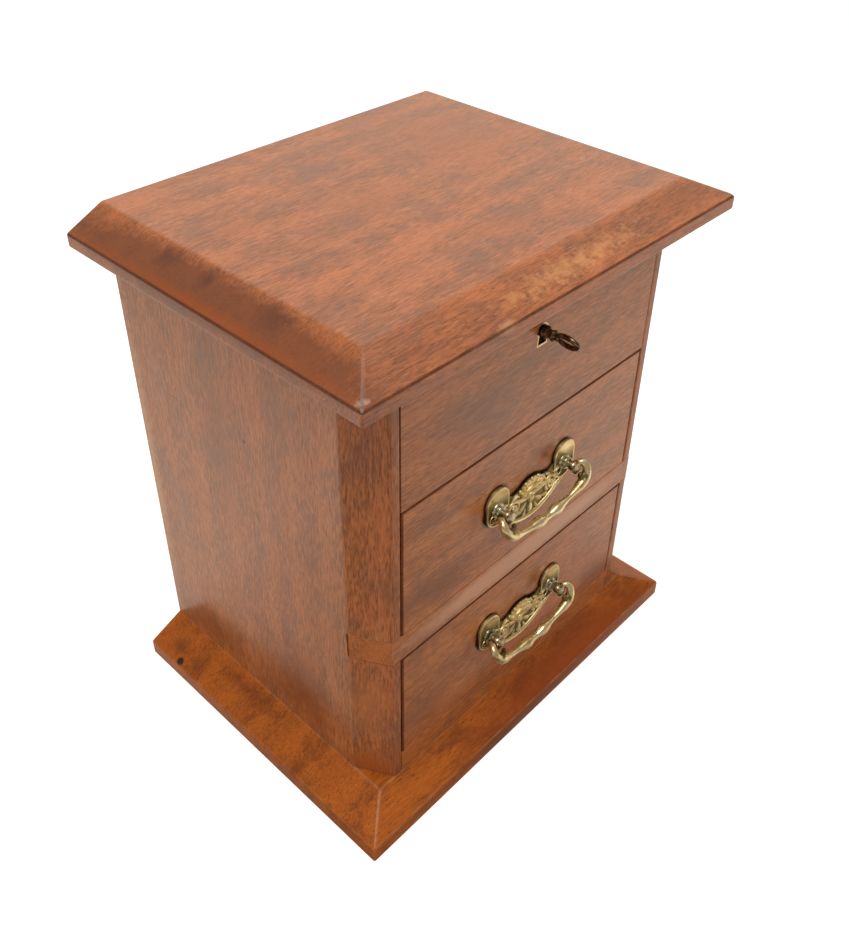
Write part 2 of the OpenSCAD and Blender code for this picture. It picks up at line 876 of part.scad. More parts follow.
module plate_body() {
  shoulder = lobe_r;
  polygon(concat(
    [for (i = [-plate_steps : plate_steps]) [plate_half * i / plate_steps, plate_edge(i / plate_steps)]],
    [[plate_half, shoulder * 0.72], [plate_half * 0.864, shoulder]],
    [[plate_half * -0.864, shoulder], [-plate_half, shoulder * 0.72]]
  ));
}

module plate_border() {
  polygon([
    for (edge = [0, 1], i = [-plate_steps : plate_steps])
      let (u = (edge == 0 ? i : -i) / plate_steps)
        [plate_half * u, plate_edge(u) + edge * plate_border_h]
  ]);
}

module shell_2d(reach) {
  tip = reach + shell_reach * 0.127;
  flank = reach + shell_reach * 0.103;
  for (a = [30 : 20 : 150])
    translate([0, shell_reach * -0.32]) polygon([
      [0, 0], reach * [cos(a - 10), sin(a - 10)],
      flank * [cos(a - 5), sin(a - 5)], tip * [cos(a), sin(a)],
      flank * [cos(a + 5), sin(a + 5)], reach * [cos(a + 10), sin(a + 10)]
    ]);
}

module scroll(side) {
  translate([side * plate_half * 0.66, plate_drop * -0.1]) difference() {
    circle(r = scroll_r, $fn = 24);
    circle(r = scroll_r * 0.43, $fn = 24);
  }
}

module handle_plate(handle_z) {
  color("gold") translate([0, y_front, handle_z - post_rise]) rotate([90, 0, 0]) difference() {
    union() {
      linear_extrude(plate_t) {
        plate_lobe(-1);
        plate_lobe(1);
        plate_body();
        shell_2d(shell_reach);
      }
      linear_extrude(plate_border_t) plate_border();
      linear_extrude(plate_border_t) shell_2d(shell_reach * 0.92);
      linear_extrude(shell_t) shell_2d(shell_reach * 0.635);
      linear_extrude(plate_border_t) {
        scroll(-1);
        scroll(1);
      }
    }
    for (side = [-1, 1])
      translate([side * post_spacing / 2, post_rise, -eps])
        cylinder(r = stud_r, h = shell_t + 2 * eps, $fn = round_fn);
  }
}

// A turned post: stud, foot, neck, eye for the pivot pin and a ringed head
module handle_post(side, handle_z) {
  stud_l = front_t + nut_t + 1.2;
  foot_r = 3.7;
  foot_h = 1;
  neck_r = 1.9;
  ring_r = 3.1;
  head_z = pivot_out + eye_r * 0.72;
  color("gold") translate([side * post_spacing / 2, y_front, handle_z]) difference() {
    rotate([90, 0, 0]) union() {
      translate([0, 0, -stud_l]) cylinder(r = stud_r, h = stud_l + plate_t, $fn = round_fn);
      translate([0, 0, plate_t]) cylinder(r = foot_r, h = foot_h, $fn = round_fn);
      translate([0, 0, plate_t]) cylinder(r = neck_r, h = pivot_out - plate_t, $fn = round_fn);
      translate([0, 0, pivot_out]) sphere(r = eye_r, $fn = round_fn);
      translate([0, 0, head_z]) cylinder(r = ring_r, h = 1.1, $fn = round_fn);
      translate([0, 0, head_z + 1.1]) cylinder(r1 = ring_r - 0.5, r2 = 1, h = 0.9, $fn = round_fn);
    }
    along_x(-pivot_out, 0, pivot_r + pivot_clear, -2 * eye_r, 2 * eye_r);
  }
}

module handle_nuts(handle_z) {
  color("goldenrod") for (side = [-1, 1])
    translate([side * post_spacing / 2, y_front + front_t + nut_t, handle_z]) rotate([90, 0, 0])
      difference() {
        cylinder(r = stud_r * 2.4, h = nut_t, $fn = 6);
        translate([0, 0, -eps]) cylinder(r = stud_r, h = nut_t + 2 * eps, $fn = round_fn);
      }
}

// Bail: half of its course from the pivot pin to the middle, as
// [x, distance in front of the drawer, height over the pivot, radius].
// The course swings out round the post, drops to a thick corner and runs
// to a double baluster at the middle.
bail_start = post_spacing / 2 + eye_r + 0.3;
bail_out = pivot_out + 5.7;
bail_half = [
  [bail_start, pivot_out, 0, 1.5],
  [bail_start + 2.5, pivot_out + 1.5, 0.5, 1.8],
  [bail_start + 3.5, pivot_out + 3.9, -bail_drop * 0.11, 2.0],
  [bail_start + 2.2, bail_out - 0.4, -bail_drop * 0.35, 2.3],
  [bail_start - 1.3, bail_out, -bail_drop * 0.59, 2.6],
  [bail_start - 6.3, bail_out, -bail_drop * 0.76, 2.1],
  [bail_start - 11.5, bail_out, -bail_drop * 0.87, 1.7],
  [10.8, bail_out, -bail_drop * 0.93, 2.5],
  [7, bail_out, -bail_drop * 0.96, 3.1],
  [3.4, bail_out, -bail_drop * 0.99, 2.4],
  [0, bail_out, -bail_drop, 1.9]
];
bail_last = len(bail_half) - 1;
bail_course = concat(
  bail_half,
  [for (i = [bail_last - 1 : -1 : 0])
    [-bail_half[i][0], bail_half[i][1], bail_half[i][2], bail_half[i][3]]]
);
bail_steps = 2;
bail_sides = 10;

// A point on the smooth curve through a list, at a fraction t after point i
function held(list, i) = list[max(0, min(len(list) - 1, i))];
function on_curve(list, i, t) =
  let (a = held(list, i - 1), b = held(list, i), c = held(list, i + 1), d = held(list, i + 2))
  0.5 * (2 * b + (c - a) * t + (2 * a - 5 * b + 4 * c - d) * t * t
    + (3 * b - a - 3 * c + d) * t * t * t);
function curve(list, steps) = concat(
  [for (i = [0 : len(list) - 2]) for (k = [0 : steps - 1]) on_curve(list, i, k / steps)],
  [list[len(list) - 1]]
);
function unit(v) = v / norm(v);

// A tube along points [x, out, up, radius], with a flat cap at each end
module tube(points, sides) {
  last = len(points) - 1;
  places = [for (p = points) [p[0], -p[1], p[2]]];
  lean = [0, 1, -1];
  rings = [for (i = [0 : last])
    let (
      ahead = i == 0 || i == last ? [1, 0, 0] : unit(places[i + 1] - places[i - 1]),
      across = unit(cross(ahead, lean)),
      up = cross(across, ahead)
    )
    for (k = [0 : sides - 1])
      let (a = 360 * k / sides)
      places[i] + points[i][3] * (across * cos(a) + up * sin(a))];
  walls = [for (i = [0 : last - 1]) for (k = [0 : sides - 1])
    let (
      n = (k + 1) % sides,
      p = i * sides + k, q = i * sides + n,
      r = (i + 1) * sides + k, s = (i + 1) * sides + n
    )
    each [[p, q, s], [p, s, r]]];
  caps = concat(
    [for (k = [1 : sides - 2]) [0, k + 1, k]],
    [for (k = [1 : sides - 2]) [last * sides, last * sides + k, last * sides + k + 1]]
  );
  polyhedron(points = rings, faces = concat(walls, caps));
}

module bail(handle_z) {
  spur_x = bail_start + 1.6;
  spur_r = 0.9;
  spur = [plate_t + spur_r + 0.3 - pivot_out, -3.8];
  color("gold") translate([0, y_front, handle_z]) {
    tube(curve(bail_course, bail_steps), bail_sides);
    for (side = [-1, 1]) {
      x0 = side * (post_spacing / 2 - eye_r);
      x1 = side * (bail_start + 1.2);
      along_x(-pivot_out, 0, pivot_r, min(x0, x1), max(x0, x1));
      translate([side * spur_x, -pivot_out, 0]) rotate([atan2(-spur[0], -spur[1]), 0, 0])
        mirror([0, 0, 1]) cylinder(r1 = spur_r + 0.4, r2 = spur_r, h = norm(spur), $fn = 24);
    }
  }
}

// Key: a hollow shank with its bit in the lock, a collar and a ring bow
module key() {
  y_end = y_cap - 0.3;
  y_tip = y_front - key_out;
  bit_w = lock_room - 1.2;
  pipe_l = 16;
  bow_y = y_tip + bow_rim_r + bow_r;
  color("saddlebrown") translate([0, 0, key_z]) rotate([0, key_tilt * -1, 0]) {
    difference() {
      union() {
        along_y(0, 0, shank_r, bow_y + bow_r - bow_rim_r / 2, y_end);
        along_y(0, 0, 3.3, y_front - 2.4, y_front - 0.6);
        along_y(0, 0, 2.7, y_front - 5, y_front - 0.6);
        along_y(0, 0, 3.1, y_front - 6.2, y_front - 5);
        block([-bit_t / 2, y_end - bit_w, -bit_reach], [bit_t / 2, y_end, -shank_r / 2]);
        translate([0, bow_y, 0]) rotate([0, 90, 0])
          rotate_extrude($fn = round_fn) translate([bow_r, 0]) circle(r = bow_rim_r, $fn = 24);
      }
      along_y(0, 0, drill_pin_r + drill_pin_clear, y_end - pipe_l, y_end + eps);
    }
  }
}

module upper_front() { drawer_front(z_upper, upper_h, upper_handle_z); }
module upper_side_left() { mirror([1, 0, 0]) drawer_side(z_upper, upper_h); }
module upper_side_right() { drawer_side(z_upper, upper_h); }
module upper_back() { drawer_back(z_upper, upper_h); }
module upper_bottom() { drawer_bottom(z_upper); }
module upper_felt() { drawer_felt(z_upper); }
module upper_plate() { handle_plate(upper_handle_z); }
module upper_post_left() { handle_post(-1, upper_handle_z); }
module upper_post_right() { handle_post(1, upper_handle_z); }
module upper_nuts() { handle_nuts(upper_handle_z); }
module upper_bail() { bail(upper_handle_z); }
module lower_front() { drawer_front(z_lower, lower_h, lower_handle_z); }
module lower_side_left() { mirror([1, 0, 0]) drawer_side(z_lower, lower_h); }
module lower_side_right() { drawer_side(z_lower, lower_h); }
module lower_back() { drawer_back(z_lower, lower_h); }
module lower_bottom() { drawer_bottom(z_lower); }
module lower_felt() { drawer_felt(z_lower); }
module lower_plate() { handle_plate(lower_handle_z); }
module lower_post_left() { handle_post(-1, lower_handle_z); }
module lower_post_right() { handle_post(1, lower_handle_z); }
module lower_nuts() { handle_nuts(lower_handle_z); }
module lower_bail() { bail(lower_handle_z); }

base_board();
base_screws();
side_left();
side_right();
back_panel();
lock_panel();
middle_rail();
bottom_rail();
dust_board();
runner_left();
runner_right();
compartment_floor();
compartment_felt();
drawer_stops();
escutcheon();
lock_case();
lock_cap();
lock_spring();
lock_screws();
case_leaf_left();
case_leaf_right();
case_leaf_screws();
hinge_pins();
lid_board();
mirror_glass();
mirror_paper();
bead_front();
bead_back();
bead_left();
bead_right();
lid_leaf_left();
lid_leaf_right();
lid_leaf_screws();
link_plate();
link_screws();
upper_front();
upper_side_left();
upper_side_right();
upper_back();
upper_bottom();
upper_felt();
upper_plate();
upper_post_left();
upper_post_right();
upper_nuts();
lower_front();
lower_side_left();
lower_side_right();
lower_back();
lower_bottom();
lower_felt();
lower_plate();
lower_post_left();
lower_post_right();
lower_nuts();
upper_bail();
lower_bail();
lock_bolt();
key();
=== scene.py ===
import json
import math

import bmesh
import bpy
from mathutils import Matrix, Vector, noise


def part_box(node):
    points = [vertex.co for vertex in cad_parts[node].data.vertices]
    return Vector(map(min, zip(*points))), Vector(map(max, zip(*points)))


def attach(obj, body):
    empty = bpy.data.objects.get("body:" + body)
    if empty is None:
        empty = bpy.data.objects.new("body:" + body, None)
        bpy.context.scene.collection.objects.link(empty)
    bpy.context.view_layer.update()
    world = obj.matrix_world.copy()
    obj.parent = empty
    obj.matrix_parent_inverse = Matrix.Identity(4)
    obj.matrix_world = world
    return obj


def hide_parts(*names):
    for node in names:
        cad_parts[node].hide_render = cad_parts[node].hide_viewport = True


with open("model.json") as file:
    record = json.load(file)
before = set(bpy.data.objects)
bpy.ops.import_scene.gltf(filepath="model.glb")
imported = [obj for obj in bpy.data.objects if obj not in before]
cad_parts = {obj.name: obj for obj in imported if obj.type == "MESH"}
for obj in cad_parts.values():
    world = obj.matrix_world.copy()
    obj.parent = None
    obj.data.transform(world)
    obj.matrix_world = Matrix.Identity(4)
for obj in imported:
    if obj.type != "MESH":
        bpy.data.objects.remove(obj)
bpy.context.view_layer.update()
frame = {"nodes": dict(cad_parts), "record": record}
cadNodes = frame["nodes"]
mm = 0.001

bodies = frame["record"]["behaviour"]["bodies"]
bodyOf = {node: body for body, nodes in bodies.items() for node in nodes}
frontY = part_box("lock_panel")[0].y


# Camera, at the photograph's angle
cameraView = {
    "place": (-0.3084, -0.2981, 0.4827),
    "azimuth": -47.39, "elevation": 35.56, "roll": 1.14,
    "lens": 39.06, "shiftX": -0.0122, "shiftY": -0.0766,
}


def makeCamera(view):
    a, e, r = (math.radians(view[k]) for k in ("azimuth", "elevation", "roll"))
    back = Vector((math.sin(a) * math.cos(e), -math.cos(a) * math.cos(e), math.sin(e)))
    right = Vector((0, 0, 1)).cross(back).normalized()
    up = back.cross(right)
    turnedRight = right * math.cos(r) + up * math.sin(r)
    turnedUp = up * math.cos(r) - right * math.sin(r)
    lens = bpy.data.cameras.new("camera")
    lens.lens, lens.shift_x, lens.shift_y = view["lens"], view["shiftX"], view["shiftY"]
    lens.clip_start = 0.02
    camera = bpy.data.objects.new("camera", lens)
    turn = Matrix((turnedRight, turnedUp, back)).transposed().to_4x4()
    camera.matrix_world = Matrix.Translation(view["place"]) @ turn
    bpy.context.scene.collection.objects.link(camera)
    bpy.context.scene.camera = camera


# Short ways to write node trees
class Desk:
    def __init__(self, tree):
        self.tree = tree

    def add(self, kind, sockets=None, **settings):
        made = self.tree.nodes.new("ShaderNode" + kind)
        for key, value in settings.items():
            setattr(made, key, value)
        for key, value in (sockets or {}).items():
            self.give(made.inputs[key], value)
        return made

    def give(self, socket, value):
        if isinstance(value, bpy.types.NodeSocket):
            self.tree.links.new(value, socket)
        elif value is not None:
            socket.default_value = value

    def calc(self, operation, a, b=None, c=None, clamp=False):
        return self.add("Math", {0: a, 1: b, 2: c}, operation=operation, use_clamp=clamp).outputs[0]

    def vec(self, operation, a, b=None):
        made = self.add("VectorMath", {0: a, 1: b}, operation=operation)
        return made.outputs["Value"] if operation in ("LENGTH", "DOT_PRODUCT", "DISTANCE") else made.outputs[0]

    def span(self, value, low, high, toLow=0.0, toHigh=1.0):
        return self.add("MapRange", {0: value, 1: low, 2: high, 3: toLow, 4: toHigh}).outputs[0]

    def mix(self, amount, a, b, blend="MIX"):
        return self.add("Mix", {0: amount, 6: a, 7: b}, data_type="RGBA", blend_type=blend).outputs[2]

    def ramp(self, value, stops):
        made = self.add("ValToRGB", {0: value})
        band = made.color_ramp.elements
        while len(band) < len(stops):
            band.new(0.5)
        for stop, (place, colour) in zip(band, stops):
            stop.position, stop.color = place, (*colour, 1)
        return made.outputs["Color"]

    def noise(self, vector, scale, detail=2.0, rough=0.5, warp=0.0):
        sockets = {"Vector": vector, "Scale": scale, "Detail": detail, "Roughness": rough, "Distortion": warp}
        return self.add("TexNoise", sockets).outputs["Fac"]

    def bumped(self, shader, height, strength, distance):
        bump = self.add("Bump", {"Height": height, "Strength": strength, "Distance": distance})
        self.give(shader.inputs["Normal"], bump.outputs[0])

    def placed(self, turn=(0, 0, 0), shift=(0, 0, 0)):
        place = self.add("TexCoord").outputs["Object"]
        sockets = {"Vector": place, "Location": shift, "Rotation": [math.radians(t) for t in turn]}
        return self.add("Mapping", sockets).outputs[0]


def newGroup(name, inputs, outputs):
    tree = bpy.data.node_groups.new(name, "ShaderNodeTree")
    kinds = {"f": "NodeSocketFloat", "v": "NodeSocketVector"}
    for label, kind, value in inputs:
        socket = tree.interface.new_socket(label, in_out="INPUT", socket_type=kinds[kind])
        if value is not None:
            socket.default_value = value
    for label, kind in outputs:
        tree.interface.new_socket(label, in_out="OUTPUT", socket_type=kinds[kind])
    given = tree.nodes.new("NodeGroupInput").outputs
    return tree, Desk(tree), given, tree.nodes.new("NodeGroupOutput").inputs


# Wood figure for a board whose grain runs along the vector's X. Scales are per metre,
# and a stretch below 1 draws a pattern out along the grain.
grain = {
    "driftScale": 11.0, "driftStretch": 0.22, "ringStretch": 0.04, "lateSharpness": 2.4,
    "streakScale": 900, "streakStretch": 0.12, "fibreScale": 1900, "fibreStretch": 0.1, "fibreShare": 0.9,
    "blotchScale": 44, "blotchStretch": 0.6, "poreScale": 1500, "poreStretch": 0.16,
    "fleckScale": 1100, "fleckStretch": 0.2, "clusterScale": 34, "spotScale": 260, "wearScale": 85,
}


def makeFigureGroup():
    inputs = [
        ("Vector", "v", None), ("Ring Width", "f", 0.006), ("Wander", "f", 0.02),
        ("Ring Strength", "f", 0.5), ("Streak Strength", "f", 0.5), ("Blotch Strength", "f", 0.3),
    ]
    outputs = [("Tone", "f"), ("Blotch", "f"), ("Pores", "f"), ("Flecks", "f"), ("Height", "f")]
    tree, d, given, out = newGroup("woodFigure", inputs, outputs)

    def drawn(vector, part):
        return d.vec("MULTIPLY", vector, (grain[part + "Stretch"], 1, 1))

    straight = given["Vector"]
    sockets = {"Vector": drawn(straight, "drift"), "Scale": grain["driftScale"], "Detail": 2.0}
    drift = d.add("TexNoise", sockets).outputs["Color"]
    push = d.vec("SCALE", d.vec("SUBTRACT", drift, (0.5, 0.5, 0.5)))
    d.give(push.node.inputs["Scale"], given["Wander"])
    bent = d.vec("ADD", straight, push)
    rings = d.calc("DIVIDE", d.vec("LENGTH", drawn(bent, "ring")), given["Ring Width"])
    wave = d.span(d.calc("SINE", d.calc("MULTIPLY", rings, 2 * math.pi)), -1, 1)
    late = d.calc("POWER", wave, grain["lateSharpness"])
    streak = d.noise(drawn(bent, "streak"), grain["streakScale"], 5, 0.66)
    fibre = d.noise(drawn(straight, "fibre"), grain["fibreScale"], 3, 0.7)
    blotch = d.noise(drawn(bent, "blotch"), grain["blotchScale"], 7, 0.7, 0.4)
    patterns = [
        (late, 0.4, given["Ring Strength"]), (streak, 0.5, given["Streak Strength"]),
        (fibre, 0.5, d.calc("MULTIPLY", given["Streak Strength"], grain["fibreShare"])),
        (blotch, 0.5, given["Blotch Strength"]),
    ]
    tone = 0.5
    for pattern, middle, strength in patterns:
        swing = d.calc("SUBTRACT", pattern, middle)
        tone = d.calc("MULTIPLY_ADD", swing, strength, tone, clamp=pattern is blotch)
    pores = d.span(d.noise(drawn(straight, "pore"), grain["poreScale"], 2, 0.5), 0.6, 0.7)
    cluster = d.span(d.noise(straight, grain["clusterScale"], 3, 0.6), 0.52, 0.66)
    flecks = d.span(d.noise(drawn(bent, "fleck"), grain["fleckScale"], 2, 0.6), 0.58, 0.68)
    height = d.calc("MULTIPLY_ADD", pores, -1.0, d.calc("MULTIPLY", fibre, 0.5))
    made = {"Tone": tone, "Blotch": blotch, "Pores": pores, "Height": height}
    made["Flecks"] = d.calc("MULTIPLY", flecks, cluster)
    for label, socket in made.items():
        d.give(out[label], socket)
    return tree


# A soft-edged, wobbly spot: 1 at the centre and 0 outside its radius
def makeSpotGroup():
    inputs = [
        ("Centre", "v", None), ("Radius", "v", (0.01, 0.01, 0.01)), ("Softness", "f", 0.4), ("Wobble", "f", 0.3),
    ]
    tree, d, given, out = newGroup("softSpot", inputs, [("Mask", "f")])
    place = d.add("TexCoord").outputs["Object"]
    away = d.vec("DIVIDE", d.vec("SUBTRACT", place, given["Centre"]), given["Radius"])
    ragged = d.calc("SUBTRACT", d.noise(place, grain["spotScale"], 3, 0.6), 0.5)
    reach = d.calc("MULTIPLY_ADD", ragged, given["Wobble"], d.vec("LENGTH", away))
    inner = d.calc("SUBTRACT", 1.0, given["Softness"])
    d.give(out["Mask"], d.calc("SUBTRACT", 1.0, d.span(reach, inner, 1.0)))
    return tree


# Rubbed and stained arrises, and painted shade on faces whose bloom is below 0, from the attributes that softBoard
# writes
def makeWearGroup():
    outputs = [("Mask", "f"), ("Stain", "f"), ("Bloom", "f")]
    tree, d, given, out = newGroup("arrisWear", [("Raggedness", "f", 0.8)], outputs)
    arris = d.add("Attribute", attribute_name="arris").outputs["Fac"]
    bloom = d.add("Attribute", attribute_name="bloom").outputs["Fac"]
    place = d.add("TexCoord").outputs["Object"]
    uneven = d.span(d.noise(place, grain["wearScale"], 5, 0.75), 0.44, 0.64)
    kept = d.calc("MULTIPLY_ADD", uneven, given["Raggedness"], d.calc("SUBTRACT", 1.0, given["Raggedness"]))
    d.give(out["Mask"], d.calc("MULTIPLY", arris, kept, clamp=True))
    stainAndShade = d.calc("MULTIPLY", d.calc("MINIMUM", arris, bloom), -1.0)
    d.give(out["Stain"], d.calc("MULTIPLY", stainAndShade, d.span(uneven, 0, 1, 0.7, 1.0), clamp=True))
    d.give(out["Bloom"], bloom)
    return tree


figureGroup, spotGroup, wearGroup = makeFigureGroup(), makeSpotGroup(), makeWearGroup()
grainTurns = {"x": (0, 0, 0), "y": (0, 0, -90), "z": (0, 90, 0)}


def newMaterial(name):
    material = bpy.data.materials.new(name)
    material.use_nodes = True
    material.node_tree.nodes.clear()
    d = Desk(material.node_tree)
    shader = d.add("BsdfPrincipled")
    d.add("OutputMaterial", {"Surface": shader.outputs[0]})
    return material, d, shader


# Old mahogany under a satin varnish. deep is the saturated colour of end grain and
# bevels, bloomed the greyer colour that flats take on. A mark is a centre and radii in
# mm, softness, wobble, colour and strength.
plainWood = {
    "pith": (0, 0.12, 0.05), "rings": 0.006, "wander": 0.02, "ringStrength": 0.3, "streaks": 0.9, "blotches": 0.5,
    "warmth": 0.5, "cool": (0.26, 0.1, 0.06), "coolness": 0.5, "pores": 0.5, "flecks": 0.0,
    "fleck": (0.6, 0.35, 0.2), "wear": 0.5, "worn": (0.5, 0.24, 0.11), "rough": 0.42, "varnish": 0.8, "marks": (),
}
stainAndShadeColour = (0.07, 0.016, 0.004)


def mahogany(name, changes):
    finish = {**plainWood, **changes}
    material, d, shader = newMaterial(name)
    figure = d.add("Group", {
        "Vector": d.placed(grainTurns[finish["grain"]], finish["pith"]),
        "Ring Width": finish["rings"], "Wander": finish["wander"], "Ring Strength": finish["ringStrength"],
        "Streak Strength": finish["streaks"], "Blotch Strength": finish["blotches"],
    }, node_tree=figureGroup).outputs
    wear = d.add("Group", {"Raggedness": 0.8}, node_tree=wearGroup).outputs
    blotch = figure["Blotch"]

    def shaded(colour, low, high):
        stops = ((0.22, low), (0.5, 1), (0.8, high))
        return d.ramp(figure["Tone"], [(place, [v * share for v in colour]) for place, share in stops])

    def tinted(colour, amount, tint):
        return d.mix(amount, colour, (*tint, 1))

    colour = d.mix(wear["Bloom"], shaded(finish["deep"], 0.6, 1.36), shaded(finish["bloomed"], 0.62, 1.36))
    colour = tinted(colour, d.span(blotch, 0.5, 0.72, 0.0, finish["warmth"]), finish["warm"])
    colour = tinted(colour, d.span(blotch, 0.5, 0.3, 0.0, finish["coolness"]), finish["cool"])
    colour = tinted(colour, d.calc("MULTIPLY", figure["Pores"], finish["pores"]), [v * 0.3 for v in finish["deep"]])
    colour = tinted(colour, d.calc("MULTIPLY", figure["Flecks"], finish["flecks"]), finish["fleck"])
    for centre, radius, softness, wobble, tint, strength in finish["marks"]:
        sockets = {"Centre": [v * mm for v in centre], "Radius": [v * mm for v in radius]}
        sockets.update({"Softness": softness, "Wobble": wobble})
        spot = d.add("Group", sockets, node_tree=spotGroup).outputs["Mask"]
        colour = tinted(colour, d.calc("MULTIPLY", spot, strength), tint)
    colour = tinted(colour, d.calc("MULTIPLY", wear["Mask"], finish["wear"]), finish["worn"])
    # Dark arrises, and painted shade on faces whose bloom is below 0
    colour = tinted(colour, d.calc("MULTIPLY", wear["Stain"], 0.9), stainAndShadeColour)
    d.give(shader.inputs["Base Color"], colour)
    d.give(shader.inputs["Roughness"], d.span(blotch, 0.3, 0.7, finish["rough"] - 0.07, finish["rough"] + 0.08))
    shader.inputs["Specular IOR Level"].default_value = 0.15
    shader.inputs["Coat Weight"].default_value = finish["varnish"]
    shader.inputs["Coat Roughness"].default_value = 0.2
    d.bumped(shader, figure["Height"], 0.5, 0.00012)
    return material


# Metal: bright where it is handled and, with a patina, olive brown in the hollows. On the handle plates the same
# attribute also paints shade: near black on the side walls and on dark discs for the posts' shadows, and darker on
# the lobes towards the posts
# Near black: painted shadow on the plates' side walls and on the posts' shadow discs, and the deepest patina
darkestPatinaAndShade = (0.035, 0.018, 0.008)


def brass(name, finish):
    material, d, shader = newMaterial(name)
    place = d.placed()
    cloud = d.noise(place, finish.get("cloud", 180), 4, 0.6)
    fine = d.noise(place, 1600, 3, 0.6)
    bright = d.ramp(cloud, [(0.3, finish["dark"]), (0.48, finish["mid"]), (0.7, finish["light"])])
    colour, rough = bright, d.span(cloud, 0.3, 0.7, finish["rough"] + 0.1, finish["rough"] - 0.06)
    if "patinaAndShade" in finish:
        hollow = d.add("Attribute", attribute_name="hollow").outputs["Fac"]
        hollow = d.calc("MULTIPLY_ADD", d.calc("SUBTRACT", cloud, 0.5), 0.7, hollow)
        colour = d.mix(d.span(hollow, 0.1, 0.85), bright, (*finish["patinaAndShade"], 1))
        colour = d.mix(d.span(hollow, 0.85, 1.0), colour, (*darkestPatinaAndShade, 1))
        rough = d.calc("MULTIPLY_ADD", d.span(hollow, 0.1, 0.9), 0.22, rough)
    d.give(shader.inputs["Base Color"], colour)
    d.give(shader.inputs["Roughness"], rough)
    shader.inputs["Metallic"].default_value = 1.0
    d.bumped(shader, fine, 0.25, 0.00008)
    return material


# Copies of CAD nodes with rounded arrises. Angles are in degrees and lengths in metres.
soften = {
    "weld": 2e-6, "flatAngle": 0.6, "onHull": 2e-5, "onSide": 1e-4, "sharpAngle": 18, "jointAngle": 40,
    "creaseAngle": 38, "shortest": 0.0012, "stainReach": 0.0011, "facing": 0.985,
    "arrisSegments": 3, "jointSegments": 2,
}


def nodeMesh(node):
    bm = bmesh.new()
    bm.from_mesh(cadNodes[node].data)
    bmesh.ops.remove_doubles(bm, verts=bm.verts, dist=soften["weld"])
    flat = math.radians(soften["flatAngle"])
    bmesh.ops.dissolve_limit(bm, angle_limit=flat, verts=bm.verts, edges=bm.edges, delimit={"SEAM"})
    bm.normal_update()
    return bm


def hullFaces(bm):
    points = [v.co for v in bm.verts]
    return {f for f in bm.faces if all((p - f.verts[0].co).dot(f.normal) < soften["onHull"] for p in points)}


def roundEdges(bm, edges, radius, segments, arris=None):
    made = bmesh.ops.bevel(bm, geom=edges, offset=radius, offset_type="OFFSET", segments=segments, profile=0.5,
                           affect="EDGES", clamp_overlap=True, material=-1, loop_slide=True)
    if arris is not None:
        fresh = set(made["faces"])
        for face in fresh:
            for vert in face.verts:
                if all(f in fresh for f in vert.link_faces):
                    vert[arris] = 1.0


# tight names sides that keep sharp edges. stained is a height in mm or "all" for dark
# arrises. bloom lists directions with how bloomed their faces are; below 0 the faces are darkened as painted shade.
def softBoard(node, arrisRadius, jointRadius=0.15, tight=(), bloom=(), stained=None):
    bm = nodeMesh(node)
    low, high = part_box(node)
    arris = bm.verts.layers.float.new("arris")
    outside = hullFaces(bm)

    def isTight(edge):
        for side in tight:
            axis, end = "xyz".index(side[0]), (low if side[1] == "-" else high)
            if all(abs(v.co[axis] - end[axis]) < soften["onSide"] for v in edge.verts):
                return True
        return False

    def sharp(edge, angle):
        return len(edge.link_faces) == 2 and edge.is_convex and edge.calc_face_angle(0) > math.radians(angle)

    def isArris(edge):
        return sharp(edge, soften["sharpAngle"]) and all(f in outside for f in edge.link_faces) and not isTight(edge)

    main = [e for e in bm.edges if isArris(e)]
    if main and arrisRadius:
        roundEdges(bm, main, arrisRadius * mm, soften["arrisSegments"], arris)
        for vert in bm.verts:
            atStain = stained == "all" or stained and abs(vert.co.z - stained * mm) < soften["stainReach"]
            if vert[arris] > 0 and atStain:
                vert[arris] = -1.0
    bm.normal_update()
    small = [e for e in bm.edges if sharp(e, soften["jointAngle"]) and e.calc_length() > soften["shortest"]]
    if small:
        roundEdges(bm, small, jointRadius * mm, soften["jointSegments"])
    bm.normal_update()
    bloomAndShadeLayer = bm.faces.layers.float.new("bloom")
    for face in bm.faces:
        for direction, amount in bloom:
            if face.normal.dot(Vector(direction).normalized()) > soften["facing"]:
                face[bloomAndShadeLayer] = amount
    return bm


def addPiece(name, bm, material, node):
    for edge in bm.edges:
        creased = len(edge.link_faces) == 2 and edge.calc_face_angle(0) > math.radians(soften["creaseAngle"])
        edge.smooth = not creased
    for face in bm.faces:
        face.smooth = True
    mesh = bpy.data.meshes.new(name)
    bm.to_mesh(mesh)
    bm.free()
    mesh.materials.append(material)
    piece = bpy.data.objects.new(name, mesh)
    bpy.context.scene.collection.objects.link(piece)
    piece.modifiers.new("evenShading", "WEIGHTED_NORMAL").keep_sharp = True
    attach(piece, bodyOf[node])
    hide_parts(node)
    return piece


# Woods
# Painted shadow as a dark halo round the handle plates, and painted reflections of the handles as reddish arcs
# beside them
handleShading = {
    "levels": (155.4, 67.2), "front": -78, "dirt": (0.03, 0.008, 0.003),
    "shadowPlaces": [
        (-25.7, 9.4, 9.6, 9.6), (-25.7, 3, 9.6, 9.6), (25.7, 9.4, 9.6, 9.6), (25.7, 3, 9.6, 9.6),
        (0, 0.5, 14, 10.8), (0, 1, 22, 7.6),
    ],
    "rubs": [(-41, 5, 5, 9, (0.3, 0.06, 0.006), 0.6), (10, 17, 6, 5, (0.26, 0.05, 0.006), 0.7)],
}
handleShadowAndReflection = []
for level in handleShading["levels"]:
    # Painted shadow: a dark halo round each lobe and the shell
    for x, up, wide, high in handleShading["shadowPlaces"]:
        handleShadowAndReflection.append(((x, handleShading["front"], level + up), (wide, 3, high), 0.12, 0.15, handleShading["dirt"], 0.9))
    # Painted reflections of the handles in the polished front
    for x, up, wide, high, tint, strength in handleShading["rubs"]:
        handleShadowAndReflection.append(((x, handleShading["front"], level + up), (wide, 3, high), 0.9, 1.2, tint, strength))

